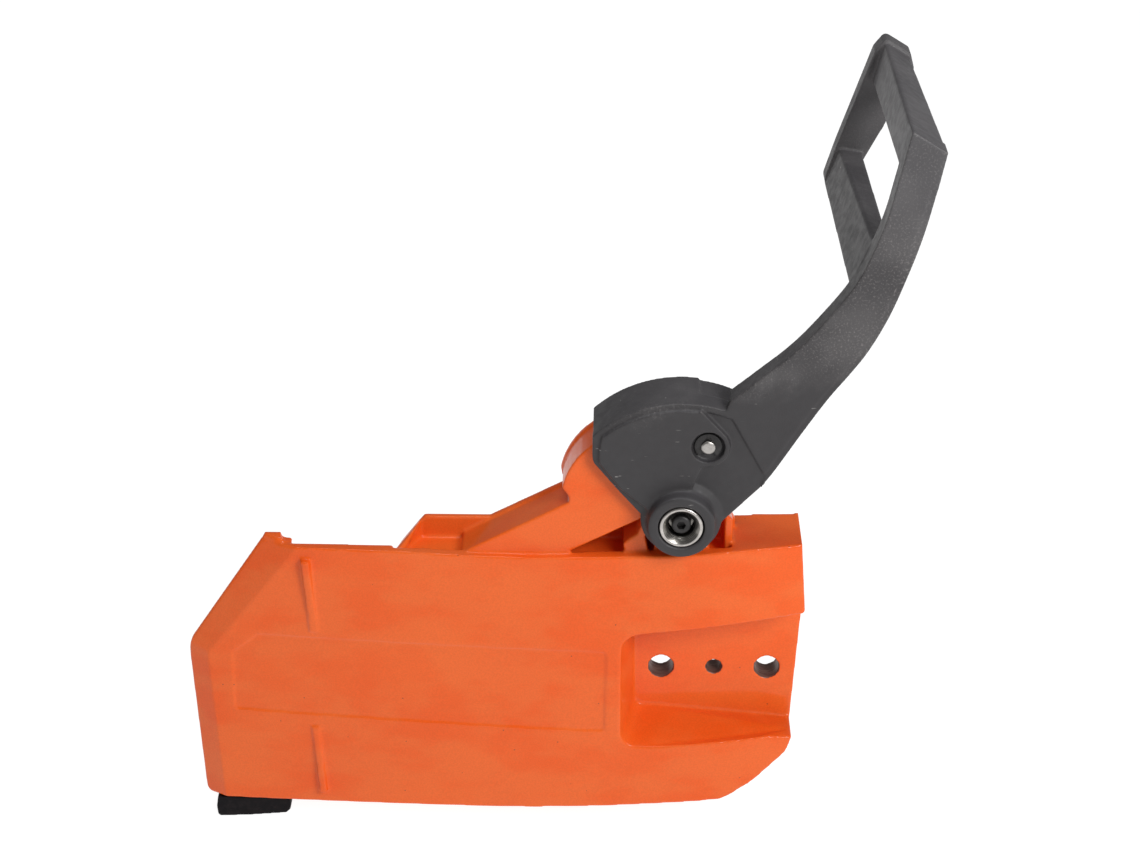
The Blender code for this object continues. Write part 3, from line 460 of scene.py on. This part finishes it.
def guard_plastic():
    """Dark grey moulded nylon: smooth low down, dusty and grained on the arm, with painted light
    that makes upward faces and high parts lighter.
    """
    n = Nodes("guard_plastic_fine")
    base = n.mix(n.noise(9, 3.0), (0.030, 0.0275, 0.029), (0.038, 0.036, 0.038))
    height = n.math("ADD", n.axis(2), n.math("MULTIPLY", n.axis(0), -0.25))
    height = n.math("ADD", height, n.math("MULTIPLY", n.noise(7, 2.0), 0.012))
    arm = n.between(height, 0.116, 0.128)
    front = n.between(n.axis(1), -0.0262, -0.0276)
    speck = n.between(n.noise(0.75, 3.0, 0.7), 0.50, 0.72)
    patch = n.between(n.noise(16, 3.0, 0.6), 0.3, 0.7, 0.45, 1.0)
    dust = n.math("MULTIPLY", n.math("MULTIPLY", arm, speck), patch)
    dust = n.math("MULTIPLY", dust, n.math("MULTIPLY_ADD", front, 0.6, 0.4))
    colour = n.mix(n.math("MULTIPLY", dust, 0.50), base, (0.24, 0.22, 0.215))
    film = n.math("MULTIPLY", arm, n.between(n.noise(22, 2.0), 0.35, 0.7, 0.05, 0.22))
    colour = n.mix(film, colour, (0.20, 0.19, 0.19))
    # painted light: faces that look upwards are made lighter grey
    facing = n.add("ShaderNodeSeparateXYZ")
    n.put(facing.inputs[0], n.add("ShaderNodeNewGeometry").outputs["Normal"])
    painted_top_light = n.between(facing.outputs[2], 0.45, 0.95, 0.0, 0.16)
    colour = n.mix(painted_top_light, colour, (0.16, 0.155, 0.170))
    # painted light: the guard is made lighter grey towards its top
    painted_light_high_up = n.between(n.axis(2), 0.160, 0.195, 0.0, 0.16)
    colour = n.mix(painted_light_high_up, colour, (0.16, 0.155, 0.165))
    edge = n.attribute("edge")
    rub = n.between(n.noise(4.0, 4.0, 0.7), 0.42, 0.62)
    edge_wear_and_highlight = n.math("MULTIPLY", n.between(edge, 0.08, 0.26), rub)
    colour = n.mix(n.math("MULTIPLY", edge_wear_and_highlight, 0.75), colour, (0.30, 0.28, 0.25))
    scratch = n.between(n.noise(4, 2.0, 0.5, stretch=(0.6, 1.0, 5.0)), 0.715, 0.74)
    scratch = n.math("MULTIPLY", scratch, n.between(n.noise(9, 1.0), 0.52, 0.64))
    colour = n.mix(n.math("MULTIPLY", scratch, 0.45), colour, (0.45, 0.43, 0.41))
    n.set(Base_Color=colour, Roughness=n.between(n.noise(3.0, 3.0), 0.3, 0.7, 0.46, 0.58))
    n.set(Specular_IOR_Level=0.36)
    leather = n.bump(n.noise(0.7, 3.0, 0.65), 0.12, 0.35)
    n.set(Normal=leather)
    return n.material


def turned_steel(name, centre, colour, roughness, tone=0.75):
    """Metal with fine rings about an axis along Y, left by the lathe."""
    n = Nodes(name)
    away_x = n.math("SUBTRACT", n.axis(0), centre.x * MM)
    away_z = n.math("SUBTRACT", n.axis(2), centre.z * MM)
    squares = n.math("ADD", n.math("POWER", away_x, 2.0), n.math("POWER", away_z, 2.0))
    radius = n.math("SQRT", squares)
    combine = n.add("ShaderNodeCombineXYZ")
    n.put(combine.inputs[0], radius)
    n.put(combine.inputs[1], n.axis(1))
    rings = n.noise(0.35, 3.0, 0.6, place=combine.outputs[0])
    stain = n.noise(3.5, 4.0, 0.6)
    dark = tuple(tone * c for c in colour)
    n.set(Base_Color=n.mix(n.between(stain, 0.35, 0.65), colour, dark), Metallic=1.0)
    n.set(Roughness=n.between(rings, 0.3, 0.7, roughness, roughness + 0.14))
    n.set(Normal=n.bump(rings, 0.03, 0.5))
    return n.material


def plated_steel(name, colour, roughness, metallic=1.0):
    """Stamped or drawn steel with a dull mottled finish."""
    n = Nodes(name)
    cloud = n.noise(4.0, 4.0, 0.6)
    dark = tuple(0.66 * c for c in colour)
    n.set(Base_Color=n.mix(n.between(cloud, 0.35, 0.65), colour, dark), Metallic=metallic)
    n.set(Roughness=n.between(n.noise(1.5, 3.0), 0.3, 0.7, roughness - 0.07, roughness + 0.09))
    n.set(Normal=n.bump(n.noise(0.4, 2.0), 0.015, 0.6))
    return n.material


def black_rubber():
    n = Nodes("rubber_fine")
    n.set(Base_Color=n.mix(n.between(n.noise(2.5, 4.0, 0.65), 0.4, 0.7), (0.005, 0.004, 0.005),
                           (0.011, 0.008, 0.009)), Roughness=0.62, Specular_IOR_Level=0.12)
    n.set(Normal=n.bump(n.noise(0.9, 3.0, 0.6), 0.08, 0.5))
    return n.material


ORANGE = orange_paint()
BARE = bare_casting()
PLASTIC = guard_plastic()
BRIGHT = turned_steel("sleeve_steel", HUB, (0.56, 0.53, 0.50), 0.22)
# painted shade: a darker copy of the sleeve steel, for the bore and its cone
SHADED_BORE_STEEL = turned_steel("painted_shade_bore_steel", HUB, (0.26, 0.245, 0.225), 0.20)
PIN_STEEL = turned_steel("pin_steel", LINK_PIN, (0.42, 0.40, 0.38), 0.26)
BLACKED = plated_steel("blacked_steel", (0.045, 0.043, 0.043), 0.42, 0.7)
SPRING = plated_steel("spring_steel_fine", (0.26, 0.26, 0.27), 0.36)
ZINC = plated_steel("zinc_steel_fine", (0.50, 0.50, 0.51), 0.38)
RUBBER = black_rubber()


# ================================================================ clutch cover
def face_rib(name, top, foot, half, rise_top, rise_foot):
    """Tapered rib that stands out of the cover's face between two (x, z, depth) points."""
    sections = []
    for (x, z, depth), rise in ((top, rise_top), (foot, rise_foot)):
        sections.append([(x - half, depth + 1.5, z), (x + half, depth + 1.5, z),
                         (x + half * 0.75, depth - rise, z), (x - half * 0.75, depth - rise, z)])
    return skin(name, sections)


def crown(x):
    """Depth of the cover's outer face."""
    peak, rear, front = -20.0, COVER_LOW.x, COVER_HIGH.x
    if x < peak:
        return COVER_LOW.y + 6.0 * ((peak - x) / (peak - rear)) ** 2
    return COVER_LOW.y + 5.0 * ((x - peak) / (front - peak)) ** 2


def round_corners(mesh, corners):
    """Moves the points outside each rounded corner of the cover's outline onto its arc."""
    points = np.empty(len(mesh.vertices) * 3)
    mesh.vertices.foreach_get("co", points)
    points = points.reshape(-1, 3)
    for before, corner, after, radius in corners:
        here = Vector(corner)
        back = (Vector(before) - here).normalized()
        ahead = (Vector(after) - here).normalized()
        half = back.angle(ahead) / 2
        reach = min(radius / math.tan(half), 0.48 * (Vector(before) - here).length,
                    0.48 * (Vector(after) - here).length)
        radius = reach * math.tan(half)
        centre = here + (back + ahead).normalized() * (radius / math.sin(half))
        away = points[:, [0, 2]] / MM - centre
        distance = np.hypot(away[:, 0], away[:, 1])
        out = -(back + ahead).normalized()
        share = (away @ np.array(out)) / np.maximum(distance, 1e-9)
        near_corner = distance < radius / math.sin(half) + 2
        outside = (distance > radius) & (share > math.sin(half)) & near_corner
        scale = np.where(outside, radius / np.maximum(distance, 1e-9), 1.0)
        points[:, 0] = (centre[0] + away[:, 0] * scale) * MM
        points[:, 2] = (centre[1] + away[:, 1] * scale) * MM
    mesh.vertices.foreach_set("co", points.ravel())
    mesh.update()


def label_panel():
    """Cutter for the shallow panel in the outer face, which follows the crown."""
    outline = rounded([(-171.3, 12.3, 1.0), (-171.7, -11.6, 2.2), (-39.0, -16.8, 2.0),
                       (-38.5, 16.7, 2.0), (-161.7, 20.4, 1.0)], 4)
    steps = 20
    made = bmesh.new()
    left, right = -175.0, -35.0
    rows = []
    for i in range(steps + 1):
        x = left + (right - left) * i / steps
        near = crown(x) - 4.0
        far = crown(x) + PANEL_DEPTH
        section = ((near, -25), (far, -25), (far, 25), (near, 25))
        rows.append([made.verts.new((x, y, z)) for y, z in section])
    for a, b in zip(rows, rows[1:]):
        for i in range(4):
            j = (i + 1) % 4
            made.faces.new((a[i], a[j], b[j], b[i]))
    made.faces.new(rows[0])
    made.faces.new(rows[-1])
    slab = new_object("panel_slab", made)
    keep = prism("panel_outline", outline, -40, 0)
    add_booleans(slab, [keep], "INTERSECT")
    return settle(slab)


def clutch_cover():
    cover = copy_of("clutch_cover", "cover_casting")
    ribs = [
        face_rib("upper_rib", (-143.3, 51.4, crown(-143.3)), (-141.6, 22.2, crown(-141.6)),
                 1.8, 2.6, 0.5),
        face_rib("lower_rib", (-142.8, -17.6, crown(-142.8)), (-140.9, -44.6, crown(-140.9)),
                 1.6, 0.7, 2.2),
    ]
    corners = (
        ((-40.0, -48.8), (3.7, -45.8), (14.0, -38.8), 16.0),
        ((3.7, -45.8), (14.0, -38.8), (26.0, -27.0), 16.0),
        ((14.0, -38.8), (26.0, -27.0), (28.0, -21.0), 9.0),
        ((26.0, -27.0), (28.0, -21.0), (30.8, 29.5), 7.0),
        ((-184.6, -49.8), (-187.0, 6.0), (-187.0, 14.0), 60.0),
        ((-187.0, 6.0), (-187.0, 14.0), (-159.1, 55.8), 13.0),
        ((-77.0, -50.0), (-184.6, -49.8), (-187.0, 6.0), 3.0),
    )
    shaped(cover, add=ribs, cut=[label_panel()])
    cast(cover, 0.55, 3, MOST_TRIANGLES, corners)
    finish_piece(cover, "clutch_cover", ORANGE)
    cover.data.materials.append(BARE)
    mark_bare(cover.data)
    return cover


def mark_bare(mesh):
    """Gives the bores and the clamp face the bare metal material."""
    centres = np.empty(len(mesh.polygons) * 3)
    mesh.polygons.foreach_get("center", centres)
    x, y, z = centres.reshape(-1, 3).T / MM
    inside = np.zeros(len(x), bool)
    for hole_x in (-STUD_HALF_SPACING, 0.0, STUD_HALF_SPACING):
        inside |= np.hypot(x - hole_x, z) < STUD_BORE + 0.35
    bore = inside & (y > -CLAMP_THICKNESS + 0.25)
    clamp = (y > -0.35) & (np.abs(x) < 28.0) & (np.abs(z) < 12.2)
    mesh.polygons.foreach_set("material_index", (bore | clamp).astype(np.int32))


# ================================================================ hand guard
def arm_edges():
    """The arm's lower and upper edges as smooth lines from the side plate to the top."""
    lower = curve_through([
        (13.6, 82.9), (18.1, 89.5), (26.0, 102.5), (34.4, 115.7), (41.3, 125.0), (47.2, 133.8),
        (53.2, 146.0), (58.0, 159.3), (62.1, 172.6), (65.2, 186.0), (68.5, 203.0)], 4)
    upper = curve_through([
        (2.0, 115.0), (11.1, 122.7), (23.6, 133.9), (36.4, 149.6), (43.1, 160.3), (47.6, 171.5),
        (50.7, 181.2), (53.0, 191.8), (55.0, 201.2), (56.8, 210.2)], 4)
    return lower, upper


def hand_guard():
    lower, upper = arm_edges()
    face = GUARD_FACE
    outline = [(HUB.x + 3.0, HUB.z - 11.5), (0.0, 68.5), (12.6, 81.7), *lower,
               *reversed(upper),
               *arc(HUB.x, HUB.z, HOOD_RADIUS, math.radians(71), HOOD_END, 24),
               (-43.9, 95.5), *plate_corner(), (-35.4, 81.4), (-25.6, 70.0),
               (HUB.x - 8.5, HUB.z - 8.5)]
    guard = prism("guard_moulding", outline, face, face + PLATE)
    arm = prism("arm", [(19.5, 92.0), *lower[4:], *reversed(upper), (6.5, 108.5)],
                face + 0.05, face + ARM)
    hood = prism("hood", [*arc(HUB.x, HUB.z, HOOD_RADIUS, math.radians(64), HOOD_END, 30),
                          *arc(HUB.x, HUB.z, HOOD_RADIUS - HOOD_WALL, HOOD_END,
                               math.radians(64), 30)],
                 face + 0.1, HOOD_BACK)
    raised = prism("raised", [
        (-24.0, 73.5), (-11.2, 80.6), (-7.1, 90.7),
        *arc(LINK_PIN.x, LINK_PIN.z, 7.3, math.radians(-70), math.radians(32), 12),
        (-7.6, 111.9),
        *arc(HUB.x, HUB.z, HOOD_RADIUS - 2.2, math.radians(83), math.radians(131), 16),
        (-41.8, 95.5), (-41.6, 92.0), (-34.5, 82.5)], face - 1.3, face + 0.5)
    low_plate = prism("pocket_floor", [
        (-26.0, 72.0), (-26.0, 111.6), (1.4, 111.2), (14.6, 86.6), (12.9, 81.0), (0.0, 60.0),
        (HUB.x - 8.5, HUB.z - 12.0)], face - 12, face + 0.75)
    step = prism("hood_step", [
        *arc(HUB.x, HUB.z, HOOD_RADIUS + 2, math.radians(83), math.radians(58), 10),
        *arc(HUB.x, HUB.z, HOOD_RADIUS - 0.8, math.radians(58), math.radians(82.4), 10)],
        face + ARM + 0.2, 0)
    bevel_line = [Vector(p) for p in lower[1:-2]]
    inner_line = []
    for a, b in zip(bevel_line, bevel_line[1:]):
        along = (b - a).normalized()
        inner_line.append(tuple(a + Vector((-along.y, along.x)) * 2.4))
    outer_line = [tuple(p + Vector((1.5, -1.5))) for p in bevel_line[:-1]]
    edge_band = prism("edge_band", [*outer_line, *reversed(inner_line)], face - 5, face + 0.4)
    boss = turned("boss", HUB, [(GUARD_NEAR, BOSS_RADIUS - HUB_RIM),
                                (GUARD_NEAR + HUB_RIM, BOSS_RADIUS), (face + PLATE, BOSS_RADIUS)])
    bore = turned("bore", HUB, [(THROUGH, GUARD_BORE), (-15, GUARD_BORE)])
    pocket = turned("pocket", LINK_PIN, [(THROUGH, PIN_POCKET), (face + 0.9, PIN_POCKET)], 64)
    pin_hole = turned("pin_hole", LINK_PIN, [(THROUGH, PIN_RADIUS + 0.3),
                                             (-15, PIN_RADIUS + 0.3)], 48)
    fillet = turned("boss_fillet", HUB, [
        (face - 1.6, BOSS_RADIUS + 0.2), (face - 0.6, BOSS_RADIUS + 0.9),
        (face + 0.3, BOSS_RADIUS + 2.4), (face + 1.5, BOSS_RADIUS + 2.4)])
    shaped(guard, add=[arm])
    shaped(guard, cut=[low_plate, edge_band])
    shaped(guard, add=[hood])
    shaped(guard, cut=[step])
    shaped(guard, add=[raised, boss, fillet, *guard_loop()], cut=[bore, pocket, pin_hole])
    cast(guard, 0.45, 4, MOST_TRIANGLES)
    return finish_piece(guard, "hand_guard", PLASTIC)


def plate_corner():
    """Rounded lower rear corner of the side plate."""
    return curve_through([(-43.9, 93.6), (-43.4, 91.5), (-41.6, 89.2)], 4)


def guard_loop():
    """Top bar, far side and lower bar that the back of the hand meets."""
    near_depth, far_depth = GUARD_FACE + ARM - 1.0, GUARD_FAR - 7.0
    far = rounded([
        (38.2, 154.2, 2.5), (46.3, 151.4, 1.5), (59.0, 176.0, 0.5), (68.6, 197.5, 2.0),
        (67.0, 203.4, 1.5), (58.2, 208.8, 2.0), (54.4, 204.0, 1.5), (42.5, 168.5, 1.0)], 4)
    side = prism("loop_far", far, far_depth - 1.0, GUARD_FAR)
    top_near = rounded([
        (54.2, 195.0, 1.0), (66.5, 192.0, 1.0), (68.4, 202.5, 0.8), (57.0, 209.3, 1.2)], 3)
    top_far = rounded([
        (54.0, 192.5, 1.0), (65.5, 191.0, 1.0), (66.8, 201.5, 0.8), (57.8, 207.4, 1.2)], 3)
    top = loft("loop_top", [(top_near, near_depth), (top_far, far_depth)])
    low_near = rounded([
        (40.0, 153.5, 1.0), (47.0, 151.0, 1.0), (53.0, 168.0, 0.8), (47.0, 170.0, 1.0)], 3)
    low_far = rounded([
        (38.6, 153.6, 1.0), (46.0, 151.7, 1.0), (52.0, 166.0, 0.8), (43.5, 167.5, 1.0)], 3)
    low_bar = loft("loop_low", [(low_near, near_depth), (low_far, far_depth)])
    return side, top, low_bar


# ================================================================ hub and small pieces
def hub_hardware():
    near, far = low("pivot_sleeve").y, high("pivot_sleeve").y
    outer, mouth, bore = 7.5, 6.3, 4.4
    sleeve = ring_solid("sleeve_turned", HUB, [
        (near + 0.5, outer), (near + 0.15, outer - 0.2), (near, outer - 0.45), (near, mouth + 0.25),
        (near + 0.15, mouth), (near + 2.2, bore + 0.1), (near + 2.4, bore), (near + 6.8, bore),
        (near + 6.8, THREAD_HOLE), (far, THREAD_HOLE), (far, outer)], 128)
    finish_piece(crisp(sleeve, 0.06), "pivot_sleeve", BRIGHT)
    # the bore and cone inside the mouth take the darker steel copy: painted shade
    sleeve.data.materials.append(SHADED_BORE_STEEL)
    for face in sleeve.data.polygons:
        away = face.center / MM - HUB
        if math.hypot(away.x, away.z) < mouth - 0.05 and face.center.y / MM > near + 0.2:
            face.material_index = 1
    start, end = low("pivot_screw").y, high("pivot_screw").y
    under = start + 4.8
    screw = turned("socket_screw", HUB, [
        (start, 2.6), (start + 0.12, 2.95), (start + 0.5, 3.3),
        (under, 3.3), (under, 2.5), (end - 0.4, 2.5), (end, 2.1)], 72)
    hexagon = circle(HUB.x, HUB.z, SOCKET_RADIUS, 6)
    socket = loft("socket", [(hexagon, start - 2), (hexagon, start + 2.4)])
    finish_piece(crisp(shaped(screw, cut=[socket]), 0.08), "pivot_screw", BLACKED)
    near, far = low("thrust_washer").y, high("thrust_washer").y
    washer = ring_solid("thrust_ring", HUB, [(near, 10.6), (near, 7.8), (far, 7.8), (far, 10.6)])
    finish_piece(crisp(washer, 0.1), "thrust_washer", ZINC)


def hexagon_nut():
    near, far = low("pivot_nut").y, high("pivot_nut").y
    hexagon = circle(HUB.x, HUB.z, 5.6, 6)
    nut = loft("hexagon_nut", [(hexagon, near), (hexagon, far)])
    cone = ring_solid("nut_chamfer", HUB, [
        (far + 1, 4.6), (far + 1, 9), (far - 2.2, 9), (far - 0.9, 5.9)], 64)
    hole = turned("nut_hole", HUB, [
        (near - 5, THREAD_HOLE), (far - 0.5, THREAD_HOLE), (far + 1, 3.9)], 48)
    finish_piece(crisp(shaped(nut, cut=[cone, hole]), 0.1), "pivot_nut", ZINC)


def link_pin():
    """Pin with a groove that the snap ring sits in."""
    start, end = low("guard_link_pin").y, high("guard_link_pin").y
    grip = high("e_clip").y
    lowest = low("e_clip").y
    groove = 1.95
    profile = [(start, 1.9), (start + 0.35, PIN_RADIUS), (lowest - 0.05, PIN_RADIUS),
               (lowest - 0.05, groove), (grip + 0.05, groove), (grip + 0.05, PIN_RADIUS),
               (end - 1.9, PIN_RADIUS), (end - 1.9, 3.5), (end, 3.5)]
    pin = turned("grooved_pin", LINK_PIN, profile, 64)
    finish_piece(crisp(pin, 0.1), "guard_link_pin", PIN_STEEL)
    clip = crisp(copy_of("e_clip", "snap_ring"), 0.12)
    finish_piece(clip, "e_clip", BLACKED)


def cap_screw(node):
    """Cap screw along Y, head towards the saw body."""
    tip, top = low(node).y, high(node).y
    centre = middle(node)
    head = top - 2.2
    screw = turned(node + "_fine", centre, [
        (tip, 1.5), (tip + 0.5, 2.0), (head, 2.0), (head, 3.5),
        (top - 0.5, 3.5), (top - 0.15, 3.3), (top, 3.0)], 48)
    socket = loft(node + "_cut", [(circle(centre.x, centre.z, 1.5, 6), head + 0.8),
                                  (circle(centre.x, centre.z, 1.5, 6), top + 2)])
    finish_piece(crisp(shaped(screw, cut=[socket]), 0.08), node, ZINC)


def deflector():
    strip = copy_of("chip_deflector", "deflector_strip")
    cast(strip, 0.3, 6, 40_000)
    finish_piece(strip, "chip_deflector", RUBBER)


# ================================================================ brake parts
def coil_spring():
    """Coil with closed ends around the pull rod, along the sloping channel."""
    lowest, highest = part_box("brake_spring")
    direction = Vector((math.cos(CHANNEL_ANGLE), 0, math.sin(CHANNEL_ANGLE)))
    centre = (lowest + highest) / 2 / MM
    outer, wire = 5.3, 1.8
    span = high("brake_spring").x - low("brake_spring").x
    length = (span - 2 * outer * math.sin(CHANNEL_ANGLE)) / math.cos(CHANNEL_ANGLE)
    start = centre - direction * (length / 2)
    across = Vector((0, 1, 0))
    up = direction.cross(across)
    turns, closed, per_turn, sides = 9.5, 1.25, 40, 12
    mean = outer - wire / 2
    run = length - wire
    steps = int(turns * per_turn)
    rings = []
    for i in range(steps + 1):
        angle = 2 * math.pi * turns * i / steps
        done = turns * i / steps
        inner = min(max(done - closed, 0.0), turns - 2 * closed)
        ends = min(done, closed) + max(done - (turns - closed), 0.0)
        pitch_end = wire * 1.02
        along = ends * pitch_end + inner * (run - 2 * closed * pitch_end) / (turns - 2 * closed)
        out = math.cos(angle) * across + math.sin(angle) * up
        centre_line = start + direction * (along + wire / 2) + out * mean
        ring = []
        for k in range(sides):
            turn = 2 * math.pi * k / sides
            spoke = out * math.cos(turn) + direction * math.sin(turn)
            ring.append(centre_line + spoke * (wire / 2))
        rings.append(ring)
    spring = skin("coil_spring", rings)
    spring.data.shade_smooth()
    finish_piece(spring, "brake_spring", SPRING)
    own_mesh(spring)


def plain_pieces():
    """CAD shapes that are right as they are get fine bevels and a better surface."""
    for node, material, slot in (
        ("brake_band", SPRING, "spring_steel"), ("brake_cover_plate", BLACKED, "black_steel"),
        ("knee_lever", ZINC, "zinc_steel"), ("knee_link", ZINC, "zinc_steel"),
        ("crosshead", ZINC, "zinc_steel"), ("spring_seat", ZINC, "zinc_steel"),
        ("pull_rod", ZINC, "zinc_steel"), ("knee_pivot_pin", PIN_STEEL, "bright_steel"),
        ("knee_pin", PIN_STEEL, "bright_steel"), ("crosshead_pin", PIN_STEEL, "bright_steel"),
        ("band_anchor_pin", PIN_STEEL, "bright_steel"), ("deflector_screw_1", ZINC, "zinc_steel"),
        ("deflector_screw_2", ZINC, "zinc_steel"),
    ):
        finish_piece(crisp(copy_of(node, node + "_fine"), 0.12), node, material)


# ================================================================ studio
def soft_light(name, place, target, size, watts, colour=(1.0, 1.0, 1.0)):
    data = bpy.data.lights.new(name, "AREA")
    data.shape = "RECTANGLE"
    data.size, data.size_y = size
    data.energy = watts
    data.color = colour
    obj = bpy.data.objects.new(name, data)
    bpy.context.scene.collection.objects.link(obj)
    obj.location = place
    obj.rotation_mode = "QUATERNION"
    obj.rotation_quaternion = (Vector(target) - Vector(place)).to_track_quat("-Z", "Y")


def studio():
    world = bpy.data.worlds.new("studio")
    bpy.context.scene.world = world
    world.use_nodes = True
    background = world.node_tree.nodes["Background"]
    background.inputs["Color"].default_value = (1.0, 1.0, 1.0, 1.0)
    background.inputs["Strength"].default_value = 0.22
    centre = (-0.06, 0.0, 0.06)
    soft_light("key", (0.34, -0.47, 0.44), centre, (0.26, 0.26), 3.5)
    soft_light("top", (-0.1, -0.15, 1.5), centre, (0.8, 0.30), 6)
    made = bmesh.new()
    half = 6.0
    square = ((-half, -half), (half, -half), (half, half), (-half, half))
    made.faces.new([made.verts.new((x, y, 0)) for x, y in square])
    mesh = bpy.data.meshes.new("floor")
    made.to_mesh(mesh)
    made.free()
    floor = bpy.data.objects.new("floor", mesh)
    floor.location.z = CAD_BOX[0].z - 0.0002
    bpy.context.scene.collection.objects.link(floor)
    n = Nodes("pale_floor")
    n.set(Base_Color=(0.20, 0.20, 0.20), Roughness=0.9, Emission_Color=(1.0, 1.0, 1.0),
          Emission_Strength=0.95)
    floor.data.materials.append(n.material)


def camera():
    data = bpy.data.cameras.new("camera")
    data.lens = 78.95
    obj = bpy.data.objects.new("camera", data)
    bpy.context.scene.collection.objects.link(obj)
    pitch, turn = math.radians(26.5), math.radians(1.0)
    back = Vector((math.sin(turn) * math.cos(pitch), -math.cos(turn) * math.cos(pitch),
                   math.sin(pitch)))
    obj.location = (-0.03837, -0.77784, 0.47858)
    obj.rotation_mode = "QUATERNION"
    obj.rotation_quaternion = (-back).to_track_quat("-Z", "Y")
    data.clip_end = 20.0
    bpy.context.scene.camera = obj
    bpy.context.scene.view_settings.view_transform = "Standard"


clutch_cover()
hand_guard()
hub_hardware()
hexagon_nut()
link_pin()
for number in range(1, 5):
    cap_screw(f"cover_plate_screw_{number}")
deflector()
coil_spring()
plain_pieces()
studio()
camera()
